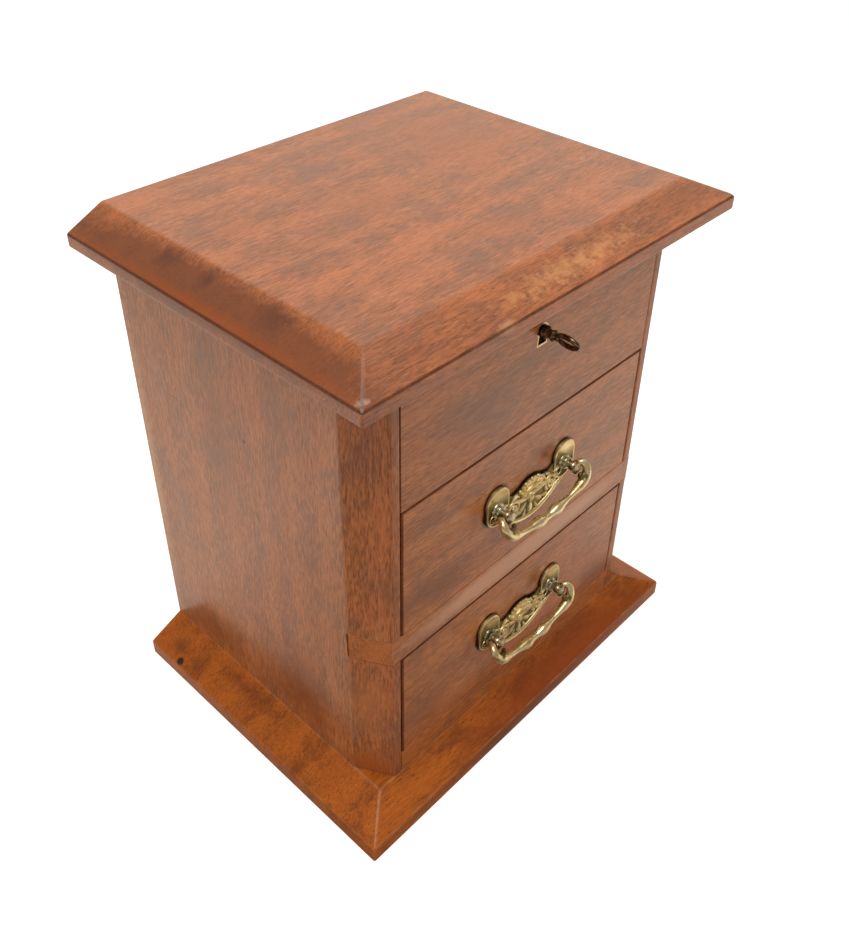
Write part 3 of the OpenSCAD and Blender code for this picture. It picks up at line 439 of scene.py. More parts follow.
woods = {
    "lid": mahogany("lidMahogany", {
        "grain": "x", "pith": (0.3, 0.16, -0.2), "rings": 0.019, "wander": 0.03, "ringStrength": 0.12,
        "streaks": 1.3, "blotches": 1.2, "deep": (0.34, 0.1, 0.03), "bloomed": (0.37, 0.118, 0.046),
        "warm": (0.46, 0.13, 0.035), "warmth": 0.4, "cool": (0.24, 0.1, 0.06), "coolness": 0.6, "pores": 0.5,
        "flecks": 0.38, "fleck": (0.62, 0.33, 0.17), "wear": 0.2, "worn": (0.5, 0.2, 0.07),
        "marks": [
            ((-120, 0, 283), (15, 130, 12), 0.35, 0.5, (0.16, 0.042, 0.013), 0.78),
            ((-123, 0, 279), (5, 130, 3.5), 0.9, 0.4, (0.3, 0.06, 0.005), 0.7),
            ((-113, 34, 286), (9, 9, 6), 0.8, 1.0, (0.08, 0.02, 0.012), 0.6),
            ((-113, 8, 286), (9, 5, 6), 0.8, 1.0, (0.08, 0.02, 0.012), 0.6),
            ((-113, -34, 286), (9, 14, 6), 0.8, 1.0, (0.08, 0.02, 0.012), 0.5),
            ((60, 40, 289), (70, 60, 8), 0.9, 0.8, (0.3, 0.085, 0.03), 0.5),
            ((-20, 10, 289), (26, 20, 8), 0.9, 1.2, (0.26, 0.09, 0.04), 0.5),
            ((10, -50, 289), (30, 14, 8), 0.9, 1.2, (0.3, 0.09, 0.035), 0.45),
            ((6, -86, 283), (48, 6, 7), 0.95, 3.2, (0.84, 0.37, 0.13), 0.5),
            ((4, -84, 284), (46, 5, 6), 0.9, 4.5, (0.1, 0.03, 0.01), 0.16),
            ((-47, -94.5, 278), (7, 3, 3), 0.6, 1.0, (0.6, 0.28, 0.12), 0.6),
            ((-121, -91.5, 277), (3.4, 3.4, 4), 0.5, 1.0, (0.75, 0.6, 0.45), 0.7),
            ((92, -84, 283), (30, 12, 8), 0.8, 1.0, (0.26, 0.075, 0.02), 0.5),
        ],
    }),
    "side": mahogany("sideMahogany", {
        "grain": "z", "pith": (0.1, 0.3, 0.1), "rings": 0.021, "wander": 0.03, "ringStrength": 0.12,
        "streaks": 1.7, "blotches": 0.9, "deep": (0.38, 0.11, 0.028), "bloomed": (0.42, 0.135, 0.04),
        "warm": (0.4, 0.1, 0.025), "flecks": 0.3, "fleck": (0.56, 0.28, 0.14), "wear": 0.3, "pores": 0.6,
        "marks": [
            ((-105.2, -20, 50), (4, 34, 36), 0.9, 0.9, (0.22, 0.048, 0.005), 0.85),
            ((-105.2, 55, 36), (4, 34, 18), 0.9, 0.9, (0.2, 0.045, 0.008), 0.6),
            ((-105.2, 24, 190), (4, 16, 70), 0.95, 1.0, (0.24, 0.085, 0.05), 0.5),
            ((-105.2, -22, 225), (4, 16, 30), 0.95, 1.0, (0.26, 0.09, 0.05), 0.45),
            ((-105.2, 93, 140), (4, 6, 130), 0.9, 1.6, (0.6, 0.32, 0.15), 0.7),
            ((-100, -66, 75), (14, 14, 30), 0.9, 0.6, (0.5, 0.15, 0.03), 0.5),
            ((-100, -66, 26), (16, 16, 12), 0.9, 0.6, (0.4, 0.08, 0.008), 0.7),
            ((-105.2, 6, 199), (2, 1.1, 1.1), 0.3, 0.4, (0.03, 0.01, 0.004), 0.9),
            ((-105.2, 40, 150), (2, 0.5, 4), 0.6, 0.6, (0.06, 0.02, 0.008), 0.7),
            ((-105.2, 62, 196), (2, 9, 0.5), 0.6, 0.5, (0.09, 0.03, 0.012), 0.6),
        ],
    }),
    "front": mahogany("frontMahogany", {
        "grain": "x", "pith": (0.2, 0.35, 0.1), "rings": 0.018, "wander": 0.03, "ringStrength": 0.15,
        "streaks": 1.6, "blotches": 1.2, "deep": (0.42, 0.12, 0.024), "bloomed": (0.41, 0.14, 0.046),
        "warm": (0.3, 0.075, 0.015), "warmth": 0.5, "wear": 0.3, "pores": 0.5,
        # The handle marks are painted shadow and painted reflections
        "marks": handleShadowAndReflection + [
            ((-60, -78, 134), (36, 3, 16), 0.95, 1.0, (0.22, 0.055, 0.01), 0.45),
            ((-70, -78, 52), (28, 3, 22), 0.95, 1.0, (0.2, 0.05, 0.01), 0.4),
            ((70, -78, 46), (30, 3, 16), 0.9, 0.9, (0.2, 0.05, 0.008), 0.6),
            ((-40, -78, 225), (50, 3, 20), 0.95, 1.0, (0.2, 0.075, 0.045), 0.6),
            ((0, -78, 113.5), (100, 3, 9), 0.5, 0.3, (0.66, 0.32, 0.17), 0.75),
        ],
    }),
    "plinth": mahogany("plinthMahogany", {
        "grain": "x", "pith": (0.1, 0.2, 0.08), "rings": 0.02, "wander": 0.03, "ringStrength": 0.12,
        "streaks": 1.0, "blotches": 1.5, "pores": 0.7, "deep": (0.42, 0.1, 0.006), "bloomed": (0.42, 0.12, 0.02),
        "warm": (0.26, 0.05, 0.006), "warmth": 0.6, "cool": (0.2, 0.045, 0.01), "wear": 0.45, "varnish": 0.28,
        "marks": [
            ((40, -92, 12), (110, 16, 16), 0.6, 0.5, (0.26, 0.045, 0.002), 0.8),
            ((0, -96, 6), (130, 5, 6), 0.8, 0.5, (0.16, 0.03, 0.003), 0.6),
            ((-119, 76, 14), (6, 8, 10), 0.8, 1.0, (0.1, 0.026, 0.006), 0.55),
            ((-124, 70, 10), (3, 3, 3), 0.4, 0.6, (0.02, 0.008, 0.004), 0.9),
            ((-112, 20, 16), (6, 30, 6), 0.9, 1.2, (0.16, 0.034, 0.006), 0.6),
        ],
    }),
    "back": mahogany("backMahogany", {
        "grain": "z", "pith": (0.1, 0.2, 0.1), "rings": 0.014, "deep": (0.3, 0.12, 0.05),
        "bloomed": (0.36, 0.17, 0.09), "warm": (0.3, 0.12, 0.05), "rough": 0.6, "varnish": 0.15, "flecks": 0.2,
    }),
    "bead": mahogany("beadMahogany", {
        "grain": "x", "deep": (0.27, 0.08, 0.02), "bloomed": (0.3, 0.1, 0.03), "warm": (0.25, 0.07, 0.02),
    }),
}
for axis in "xyz":
    woods["inner" + axis] = mahogany("innerWood" + axis.upper(), {
        "grain": axis, "pith": (0.1, 0.14, 0.09), "rings": 0.008, "deep": (0.42, 0.23, 0.11),
        "bloomed": (0.5, 0.3, 0.16), "warm": (0.36, 0.18, 0.08), "warmth": 0.3, "rough": 0.62, "varnish": 0.0,
        "wear": 0.15, "worn": (0.3, 0.17, 0.09),
    })

# Faces inside the gaps round the drawers are darkened as painted shade
gapShade = [((0, 0, 1), -0.9), ((0, 0, -1), -0.9), ((1, 0, 0), -0.9), ((-1, 0, 0), -0.9)]


def fronted(amount):
    return [((0, -1, 0), amount)] + gapShade


# For each board: its wood, its slot and how softBoard shapes it
boards = {
    "base_board": ("plinth", "base_wood", dict(arrisRadius=1.0, tight=("z-", "y+"))),
    "lid_board": ("lid", "lid_wood", dict(
        arrisRadius=1.1, stained=278.3, bloom=[((0, 0, 1), 1.0), ((0, -0.44, 0.9), 0.35), ((0, -1, 0), 0.3)],
    )),
    # The side panels' inner faces are darkened as painted shade
    "side_left": ("side", "side_wood", dict(
        arrisRadius=1.0, tight=("z-", "z+", "y+"), bloom=[((-1, 0, 0), 1.0), ((1, 0, 0), -0.6)],
    )),
    "side_right": ("side", "side_wood", dict(
        arrisRadius=1.0, tight=("z-", "z+", "y+"), bloom=[((1, 0, 0), 1.0), ((-1, 0, 0), -0.6)],
    )),
    "back_panel": ("back", "back_wood", dict(arrisRadius=0.3, bloom=[((0, 1, 0), 1.0)])),
    "lock_panel": ("front", "front_wood", dict(arrisRadius=0.4, stained="all", bloom=fronted(0.7))),
    "middle_rail": ("front", "front_wood", dict(arrisRadius=0.4, bloom=fronted(0.7))),
    "bottom_rail": ("front", "front_wood", dict(arrisRadius=0.4, bloom=fronted(0.3))),
    "upper_front": ("front", "front_wood", dict(arrisRadius=0.8, stained="all", bloom=fronted(0.8))),
    "lower_front": ("front", "front_wood", dict(arrisRadius=0.8, stained="all", bloom=fronted(0.4))),
    "dust_board": ("innerx", "inner_wood", dict(arrisRadius=0.3)),
    "runner_left": ("innery", "inner_wood", dict(arrisRadius=0.5)),
    "runner_right": ("innery", "inner_wood", dict(arrisRadius=0.5)),
    "compartment_floor": ("innerx", "inner_wood", dict(arrisRadius=0.3)),
    "drawer_stops": ("innerz", "inner_wood", dict(arrisRadius=0.0, jointRadius=0.5)),
}
for side in ("front", "back", "left", "right"):
    boards["bead_" + side] = ("bead", "bead_wood", dict(arrisRadius=0.4))
for level in ("upper", "lower"):
    boards[level + "_side_left"] = ("innery", "inner_wood", dict(arrisRadius=0.5))
    boards[level + "_side_right"] = ("innery", "inner_wood", dict(arrisRadius=0.5))
    boards[level + "_back"] = ("innerx", "inner_wood", dict(arrisRadius=0.5))
    boards[level + "_bottom"] = ("innerx", "inner_wood", dict(arrisRadius=0.3))


def camelName(node):
    first, *rest = node.split("_")
    return first + "".join(word.capitalize() for word in rest)


for node, (wood, slot, shape) in boards.items():
    name = "plinthBoard" if node == "base_board" else camelName(node)
    addPiece(name, softBoard(node, **shape), woods[wood], node)
print("boards made:", len(boards))


# Metals
metals = {
    "cast": brass("castBrass", {
        "light": (1.0, 0.88, 0.56), "mid": (0.95, 0.77, 0.38), "dark": (0.7, 0.52, 0.2), "rough": 0.3,
        "patinaAndShade": (0.15, 0.11, 0.035),
    }),
    "bail": brass("bailBrass", {
        "light": (1.0, 0.91, 0.64), "mid": (0.96, 0.8, 0.46), "dark": (0.62, 0.46, 0.19), "rough": 0.26,
        "patinaAndShade": (0.14, 0.1, 0.03),
    }),
    "post": brass("postBrass", {
        "light": (0.85, 0.8, 0.62), "mid": (0.55, 0.5, 0.33), "dark": (0.2, 0.18, 0.1), "rough": 0.22,
    }),
    "thread": brass("threadBrass", {
        "light": (0.9, 0.76, 0.48), "mid": (0.75, 0.58, 0.3), "dark": (0.4, 0.28, 0.12), "rough": 0.3,
    }),
    "hinge": brass("hingeBrass", {
        "light": (0.82, 0.62, 0.32), "mid": (0.62, 0.44, 0.2), "dark": (0.3, 0.2, 0.09), "rough": 0.38,
    }),
    "lock": brass("lockBrass", {
        "light": (0.85, 0.66, 0.34), "mid": (0.7, 0.5, 0.22), "dark": (0.38, 0.26, 0.1), "rough": 0.34,
    }),
    "steel": brass("oldSteel", {
        "light": (0.5, 0.48, 0.46), "mid": (0.32, 0.3, 0.28), "dark": (0.16, 0.11, 0.08), "rough": 0.42,
    }),
    "key": brass("keyIron", {
        "light": (0.34, 0.24, 0.14), "mid": (0.11, 0.07, 0.04), "dark": (0.03, 0.018, 0.012), "rough": 0.28,
        "cloud": 420,
    }),
}
metalNodes = {
    "escutcheon": "thread", "lock_case": "lock", "lock_cap": "lock", "lock_screws": "lock", "lock_bolt": "lock",
    "link_plate": "lock", "link_screws": "lock", "hinge_pins": "hinge", "case_leaf_left": "hinge",
    "case_leaf_right": "hinge", "case_leaf_screws": "hinge", "lid_leaf_left": "hinge", "lid_leaf_right": "hinge",
    "lid_leaf_screws": "hinge", "upper_nuts": "lock", "lower_nuts": "lock", "base_screws": "steel",
    "lock_spring": "steel",
}
softMetals = {
    "escutcheon": 0.12, "lock_case": 0.2, "lock_cap": 0.2, "link_plate": 0.2, "case_leaf_left": 0.15,
    "case_leaf_right": 0.15, "lid_leaf_left": 0.15, "lid_leaf_right": 0.15, "lock_bolt": 0.15,
    "upper_nuts": 0.2, "lower_nuts": 0.2,
}


for node, metal in metalNodes.items():
    if node in softMetals:
        bm = softBoard(node, arrisRadius=0.0, jointRadius=softMetals[node])
        addPiece(camelName(node) + "Metal", bm, metals[metal], node)
    else:
        slots = cadNodes[node].data.materials
        slots.clear()
        slots.append(metals[metal])
print("metal pieces finished:", len(metalNodes))


# Cast handles, drawn flat in millimetres: u to the right, v up from the plate's middle,
# w out of the drawer
handle = {
    "postSpacing": 51.4, "postRise": 4.6, "plateHalf": 22.0, "plateDrop": 15.5, "plateBow": 8.5, "ground": 1.4,
    "lobeRadius": 8.2, "lobeLow": 3.0, "lobeHigh": 9.3, "lobeRim": 1.75,
    "lobeSteps": [(0.3, 0.3), (0.35, 0.08), (0.5, -0.16), (1.2, -0.28), (1.8, -0.16), (1.8, -0.05)],
    "shoulder": [(19.5, 8.4), (16.5, 7.2), (13.5, 5.6), (11, 6.2)],
    "rounding": 0.3, "borderInset": 1.35, "borderHeight": 1.6, "borderRadius": 1.45, "borderThinning": 0.3,
    # Faces below shadedBelow, the plate's side wall, are near black as painted shade
    "shadedBelow": 0.9, "brightAbove": 2.05, "ribs": 7, "ribAngles": (24, 156), "shellRoot": -4.0, "shellReach": 12.6,
    "crescents": [(9.2, 1.1, 50), (5.2, 0.8, 60)],
    "scrollPlace": (14.6, -1.5), "scrollRadius": 3.9, "scrollTurn": 610,
    "neck": [(21.4, -7.2, 1.2), (23.0, -5.9, 1.1), (25.0, -5.0, 0.9), (27.4, -4.6, 0.5)],
    # Places of the painted shadows of the posts' heads, dark discs on the lobes
    "holes": [(-29.2, 0.4), (21.6, 0.6)],
}
# Leaves of the right half: u, v, angle, length and width
leaves = [
    (5.8, -6.8, -38, 8.6, 4.2), (10.4, -8.0, -12, 7.6, 3.6), (4.4, -10.6, -62, 5.6, 2.8), (17.2, -6.0, 24, 7.6, 3.2),
    (13.4, 3.8, 150, 6.4, 3.0), (18.8, 3.2, 20, 6.2, 3.0), (9.0, -1.0, 40, 6.0, 3.6), (19.8, -1.6, 62, 6.0, 2.8),
    (12.4, -5.8, 70, 4.4, 2.8),
]
# Half of the bail from its post to the middle: u, v over the pivot, w and radius. The
# curl and the spur grow out of it beside the post.
bailHalf = [
    (23.4, 0, 7.3, 1.25), (28.2, 0, 7.3, 1.28), (29.4, 0.1, 7.7, 1.55), (31.1, 0.5, 8.8, 1.85),
    (32.1, -1.5, 11.2, 2.1), (31.0, -4.7, 12.6, 2.45), (28.6, -7.4, 13.0, 2.75), (25.4, -9.3, 13.0, 2.6),
    (21.6, -10.6, 13.0, 1.85), (17.6, -11.6, 13.0, 1.5), (13.8, -12.1, 13.0, 1.7), (10.4, -12.4, 13.0, 2.5),
    (7.2, -12.8, 13.0, 3.1), (4.4, -13.1, 13.0, 2.7), (2.0, -13.4, 13.0, 2.0), (0, -13.5, 13.0, 1.85),
]
bailCurl = [
    (29.4, -4.6, 12.4, 1.8), (27.6, -5.0, 12.6, 1.5), (26.0, -4.4, 12.4, 1.3), (25.7, -3.0, 12.2, 1.1),
    (26.7, -2.5, 12.1, 0.8),
]
bailSpur = [(30.2, 0.2, 7.4, 1.4), (30.2, -1.8, 5.2, 1.15), (30.2, -3.7, 3.0, 0.95)]
# A post's turned rings: radius and height
postRings = [
    (1.6, 1.2), (4.1, 1.2), (4.3, 1.7), (4.1, 2.3), (3.6, 2.7), (3.0, 2.8), (2.7, 3.1), (3.1, 3.4),
    (3.5, 3.9), (3.3, 4.4), (2.8, 4.7), (2.3, 4.85), (1.6, 4.9),
]


def smoothCourse(points, steps):
    course = []
    for i in range(len(points) - 1):
        a, b, c, d = (Vector(points[min(max(i + k, 0), len(points) - 1)]) for k in (-1, 0, 1, 2))
        for step in range(steps):
            t = step / steps
            square, cube = 2 * a - 5 * b + 4 * c - d, 3 * b - a - 3 * c + d
            course.append(0.5 * (2 * b + (c - a) * t + square * t ** 2 + cube * t ** 3))
    return course + [Vector(points[-1])]


def addTube(bm, course, sides=4):
    line = bpy.data.curves.new("line", "CURVE")
    line.dimensions, line.bevel_depth, line.bevel_resolution, line.use_fill_caps = "3D", 1.0, sides, True
    spline = line.splines.new("POLY")
    spline.points.add(len(course) - 1)
    for point, (u, v, w, radius) in zip(spline.points, course):
        point.co, point.radius = (u, v, w, 1), radius
    thing = bpy.data.objects.new("line", line)
    bpy.context.scene.collection.objects.link(thing)
    bm.from_mesh(thing.to_mesh())
    thing.to_mesh_clear()
    bpy.data.objects.remove(thing)
    bpy.data.curves.remove(line)


# A teardrop: round at its far end, narrow at its root
def addDrop(bm, u, v, angle, length, width, height, ground, taper):
    made = bmesh.ops.create_uvsphere(bm, u_segments=14, v_segments=10, radius=1)["verts"]
    for vert in made:
        along = (vert.co.x + 1) / 2
        vert.co.y *= taper + (1 - taper) * along
        vert.co.z *= taper + (1 - taper) * along
    bmesh.ops.scale(bm, vec=(length / 2, width / 2, height), verts=made)
    turn = Matrix.Translation((u, v, ground)) @ Matrix.Rotation(math.radians(angle), 4, "Z")
    bmesh.ops.transform(bm, matrix=turn, verts=made)


def addSlab(bm, outline, thickness, rounding):
    face = bm.faces.new([bm.verts.new((u, v, 0)) for u, v in outline])
    made = bmesh.ops.extrude_face_region(bm, geom=[face])["geom"]
    bmesh.ops.translate(bm, vec=(0, 0, thickness), verts=[g for g in made if isinstance(g, bmesh.types.BMVert)])
    top = next(g for g in made if isinstance(g, bmesh.types.BMFace))
    bm.normal_update()
    bmesh.ops.bevel(bm, geom=list(top.edges), offset=rounding, offset_type="OFFSET", segments=2, profile=0.5,
                    affect="EDGES", clamp_overlap=True, material=-1)


def addLobe(bm, side):
    own = bmesh.new()
    bmesh.ops.create_circle(own, cap_ends=True, radius=handle["lobeRadius"], segments=48)
    for vert in own.verts:
        vert.co.y += handle["lobeHigh"] if vert.co.y > 0 else handle["lobeLow"]
        vert.co.x += side * handle["postSpacing"] / 2
    wall = bmesh.ops.extrude_face_region(own, geom=own.faces[:])["geom"]
    lifted = [g for g in wall if isinstance(g, bmesh.types.BMVert)]
    bmesh.ops.translate(own, vec=(0, 0, handle["lobeRim"]), verts=lifted)
    top = next(g for g in wall if isinstance(g, bmesh.types.BMFace))
    for inset, depth in handle["lobeSteps"]:
        bmesh.ops.inset_individual(own, faces=[top], thickness=inset, depth=depth, use_even_offset=True)
    hollow = own.verts.layers.float.new("hollow")
    # Painted shade: the lobe's wall is near black and its dish darkens towards the post
    for vert in own.verts:
        shadeNearPost = min(max((handle["lobeHigh"] + 3.5 - vert.co.y) / 7, 0), 0.9)
        vert[hollow] = 1.0 if vert.co.z < 1.2 else shadeNearPost * (vert.co.z < 2.0)
    part = bpy.data.meshes.new("lobe")
    own.to_mesh(part)
    own.free()
    bm.from_mesh(part)
    bpy.data.meshes.remove(part)


def plateEdge(u):
    return handle["plateBow"] * (u / handle["plateHalf"]) ** 2 - handle["plateDrop"]


# A dome, ribs that swell outwards, a beaded rim and two crescents
def addShell(bm):
    root, reach = handle["shellRoot"], handle["shellReach"]
    first, last = handle["ribAngles"]

    def addRay(angle, out, length, width, height, ground, taper, lean=0):
        a = math.radians(angle)
        u, v = math.cos(a) * out, root + math.sin(a) * out
        addDrop(bm, u, v, angle + lean, length, width, height, ground, taper)

    addDrop(bm, 0, root + 6.0, 90, 15.6, 22.6, 2.0, 0.9, 0.62)
    for rib in range(handle["ribs"]):
        angle = first + (last - first) * rib / (handle["ribs"] - 1)
        addRay(angle, 8.2, 8.6, 3.9, 1.15, 1.95, 0.4)
        addRay(angle, reach, 2.6, 2.9, 1.35, 1.35, 0.9)
        if rib:
            addRay(angle - 11, reach - 0.2, 1.9, 1.9, 1.15, 1.35, 0.9, lean=11)
    for radius, thick, spread in handle["crescents"]:
        arc = []
        for step in range(25):
            t = step / 12 - 1
            a = math.radians(90 + spread * t)
            u, v = radius * math.cos(a), root + radius * math.sin(a)
            arc.append((u, v, 3.0 - 0.7 * abs(t), thick * (1 - 0.75 * t * t)))
        addTube(bm, arc)
    addDrop(bm, 0, root + 0.4, 90, 5.0, 5.4, 2.1, 1.3, 0.8)
    addDrop(bm, 0, -9.4, -90, 7.2, 5.4, 1.6, 1.3, 0.45)


def addLeaves(bm, side):
    for u, v, angle, length, width in leaves:
        turned = angle if side > 0 else 180 - angle
        addDrop(bm, side * u, v, turned, length, width, 1.35, 1.3, 0.35)
        addDrop(bm, side * u, v, turned, length * 0.8, width * 0.3, 1.75, 1.3, 0.3)


def addScroll(bm, side):
    u, v = handle["scrollPlace"]
    course = []
    for step in range(34):
        t = step / 33
        a = math.radians(235 - handle["scrollTurn"] * t)
        r = handle["scrollRadius"] * (1 - t) ** 0.8 + 0.5
        course.append((side * (u + r * math.cos(a)), v + r * math.sin(a), 1.85 + 0.7 * t, 0.65 + 0.45 * (1 - t)))
    addTube(bm, course)
    addDrop(bm, side * u, v, 0, 2.2, 2.2, 1.3, 2.2, 1.0)


# A painted shadow of a post's head: a dark disc with a thin rim
def addPostShadow(bm, u, v, hollow):
    start = len(bm.verts)
    addDrop(bm, u, v, 0, 4.0, 4.4, 0.7, 1.5, 1.0)
    bm.verts.ensure_lookup_table()
    for vert in bm.verts[start:]:
        vert[hollow] = 1.2
    turns = [k * math.pi / 8 for k in range(17)]
    addTube(bm, [(u + 2.2 * math.cos(a), v + 2.4 * math.sin(a), 1.9, 0.35) for a in turns], 2)


def makePlate():
    bm = bmesh.new()
    hollow = bm.verts.layers.float.new("hollow")
    half = handle["plateHalf"]
    wide = range(-int(half), int(half) + 1)
    lower = [(u, plateEdge(u) + 0.3) for u in wide[::2]]
    upper = [(half, 6.5)] + handle["shoulder"]
    addSlab(bm, lower + upper + [(-u, v) for u, v in reversed(upper)], handle["ground"], handle["rounding"])
    addShell(bm)
    for side in (-1, 1):
        addLeaves(bm, side)
        addScroll(bm, side)
    border = []
    for u in wide:
        radius = handle["borderRadius"] - handle["borderThinning"] * (abs(u) / half) ** 2
        border.append((u, plateEdge(u) + handle["borderInset"], handle["borderHeight"], radius))
    addTube(bm, border)
    for side in (-1, 1):
        addTube(bm, smoothCourse([(side * u, v, 1.5, r) for u, v, r in handle["neck"]], 4))
    # Painted shade: faces below shadedBelow, the plate's side wall, are near black. Above it the relief darkens with
    # depth as patina
    for vert in bm.verts:
        depth = handle["brightAbove"] - vert.co.z
        vert[hollow] = 1.0 if vert.co.z < handle["shadedBelow"] else min(max(depth / 0.9, 0), 0.9)
    for side in (-1, 1):
        addLobe(bm, side)
    # Painted shadows of the posts' heads
    for u, v in handle["holes"]:
        addPostShadow(bm, u, v, hollow)
    return bm


def spinRound(bm, profile, axis):
    bmesh.ops.spin(bm, geom=profile, cent=(0, 0, 0), axis=axis, angle=2 * math.pi, steps=28, use_merge=True)


def addRings(bm, side):
    corners = [bm.verts.new((r, 0, w)) for r, w in postRings]
    edges = [bm.edges.new(pair) for pair in zip(corners, corners[1:] + corners[:1])]
    spinRound(bm, corners + edges, (0, 0, 1))
    bmesh.ops.translate(bm, vec=(side * handle["postSpacing"] / 2, 0, 0), verts=bm.verts)


def makeBail():
    bm = bmesh.new()
    half = [(-u, v, w, r) for u, v, w, r in bailHalf]
    whole = half + [(-u, v, w, r) for u, v, w, r in reversed(half[:-1])]
    addTube(bm, smoothCourse(whole, 4), 5)
    for side in (-1, 1):
        addTube(bm, smoothCourse([(side * u, v, w, r) for u, v, w, r in bailCurl], 4), 3)
        addTube(bm, [(side * u, v, w, r) for u, v, w, r in bailSpur], 3)
    hollow = bm.verts.layers.float.new("hollow")
    for vert in bm.verts:
        u, v, w = abs(vert.co.x), vert.co.y, vert.co.z
        vert[hollow] = min(max((12.2 - w) / 2.4, 0), 0.7) if u < 27 and v < -6 else 0.0
        if u < 29.3 and v > -5.8:
            vert[hollow] = 0.8
    return bm


def placeOnDrawer(bm, level):
    bmesh.ops.recalc_face_normals(bm, faces=bm.faces)
    out = Matrix(((mm, 0, 0, 0), (0, 0, -mm, frontY), (0, mm, 0, level), (0, 0, 0, 1)))
    bmesh.ops.transform(bm, matrix=out, verts=bm.verts)
    return bm


for drawer in ("upper", "lower"):
    postLow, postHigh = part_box(drawer + "_post_left")
    level = (postLow.z + postHigh.z) / 2
    plate = placeOnDrawer(makePlate(), level - handle["postRise"] * mm)
    addPiece(drawer + "PlateCast", plate, metals["cast"], drawer + "_plate")
    bail = placeOnDrawer(makeBail(), level)
    addPiece(drawer + "BailCast", bail, metals["bail"], drawer + "_bail")
    for side, word in ((-1, "Left"), (1, "Right")):
        node = drawer + "_post_" + word.lower()
        rings = bmesh.new()
        addRings(rings, side)
        placeOnDrawer(rings, level)
        post = softBoard(node, arrisRadius=0.0, jointRadius=0.25)
        turned = bpy.data.meshes.new("post")
        post.to_mesh(turned)
        post.free()
        rings.from_mesh(turned)
        bpy.data.meshes.remove(turned)
        addPiece(drawer + "Post" + word, rings, metals["post"], node)
print("handles made")


# Key, drawn along its shank: x across, y out of the lock as in the room, z up
keySizes = {
    "height": 248.3, "tilt": -24, "bowY": -91.4, "bowLong": 5.5, "bowWide": 3.3, "bowRim": 1.12, "bore": 0.96,
    "bitPlace": (0, -59.5, -3.65), "bit": (1.8, 4.6, 5.3), "bitRounding": 0.3,
}
# Radius and place along the shank, from the collar to the bottom of the bore
keyProfile = [
    (0.0, -87.4), (1.0, -87.4), (1.7, -87.0), (1.9, -86.4), (1.7, -85.8), (1.6, -85.2), (1.9, -84.8), (2.5, -84.5),
    (2.8, -84.0), (2.6, -83.3), (2.2, -83.0), (2.1, -81.2), (2.7, -80.9), (3.1, -80.4), (3.2, -79.2), (2.8, -78.5),
    (1.9, -78.3), (1.9, -57.5), (1.7, -57.2), (keySizes["bore"], -57.2), (keySizes["bore"], -72.8), (0.0, -73.2),
]


def makeKey():
    bm = bmesh.new()
    k = keySizes
    corners = [bm.verts.new((r, y, 0)) for r, y in keyProfile]
    edges = [bm.edges.new(pair) for pair in zip(corners, corners[1:])]
    spinRound(bm, corners + edges, (0, 1, 0))
    bmesh.ops.remove_doubles(bm, verts=bm.verts, dist=1e-4)
    ring = []
    for step in range(33):
        a = 2 * math.pi * step / 32
        thick = k["bowRim"] * (1 - 0.12 * math.cos(2 * a))
        ring.append((0, k["bowY"] + k["bowLong"] * math.cos(a), k["bowWide"] * math.sin(a), thick))
    addTube(bm, ring, 4)
    shape = Matrix.Translation(k["bitPlace"]) @ Matrix.Diagonal((*k["bit"], 1))
    bit = bmesh.ops.create_cube(bm, size=1, matrix=shape)["verts"]
    bmesh.ops.bevel(bm, geom=list({e for v in bit for e in v.link_edges}), offset=k["bitRounding"], segments=2,
                    profile=0.5, affect="EDGES", clamp_overlap=True, material=-1)
    turn = Matrix.Translation((0, 0, k["height"])) @ Matrix.Rotation(math.radians(k["tilt"]), 4, "Y")
    bmesh.ops.transform(bm, matrix=Matrix.Scale(mm, 4) @ turn, verts=bm.verts)
    bmesh.ops.recalc_face_normals(bm, faces=bm.faces)
    return bm


addPiece("keyIron", makeKey(), metals["key"], "key")
print("key made")


# Mirror glass, its paper and the felts
def mirrorGlass():
    material, d, shader = newMaterial("silveredGlass")
    haze = d.noise(d.placed(), 30, 4, 0.6)
    d.give(shader.inputs["Base Color"], d.ramp(haze, [(0.3, (0.8, 0.83, 0.82)), (0.7, (0.92, 0.93, 0.92))]))
    d.give(shader.inputs["Roughness"], d.span(haze, 0.4, 0.75, 0.02, 0.08))
    shader.inputs["Metallic"].default_value = 1.0
    return material


def brownPaper():
    material, d, shader = newMaterial("brownPaper")
    fibres = d.noise(d.placed(), 700, 4, 0.7)
    d.give(shader.inputs["Base Color"], d.ramp(fibres, [(0.3, (0.26, 0.17, 0.1)), (0.7, (0.42, 0.3, 0.19))]))
    shader.inputs["Roughness"].default_value = 0.9
    d.bumped(shader, fibres, 0.3, 0.0001)
    return material


def feltCloth():
    material, d, shader = newMaterial("greenBaize")
    place = d.placed()
    fuzz = d.noise(place, 1500, 5, 0.75)
    cloud = d.noise(place, 35, 3, 0.5)
    colour = d.ramp(fuzz, [(0.3, (0.012, 0.045, 0.02)), (0.55, (0.03, 0.1, 0.045)), (0.8, (0.07, 0.17, 0.085))])
    colour = d.mix(d.span(cloud, 0.4, 0.7, 0.0, 0.35), colour, (0.06, 0.12, 0.05, 1))
    d.give(shader.inputs["Base Color"], colour)
    shader.inputs["Roughness"].default_value = 0.95
    shader.inputs["Sheen Weight"].default_value = 0.5
    d.bumped(shader, fuzz, 0.6, 0.0003)
    return material


for node, material in (("mirror_glass", mirrorGlass()), ("mirror_paper", brownPaper())):
    cadNodes[node].data.materials.clear()
    cadNodes[node].data.materials.append(material)

baize = feltCloth()
felt = {"columns": 44, "rows": 36, "swellScale": 60, "swell": 0.12, "slack": 0.25}


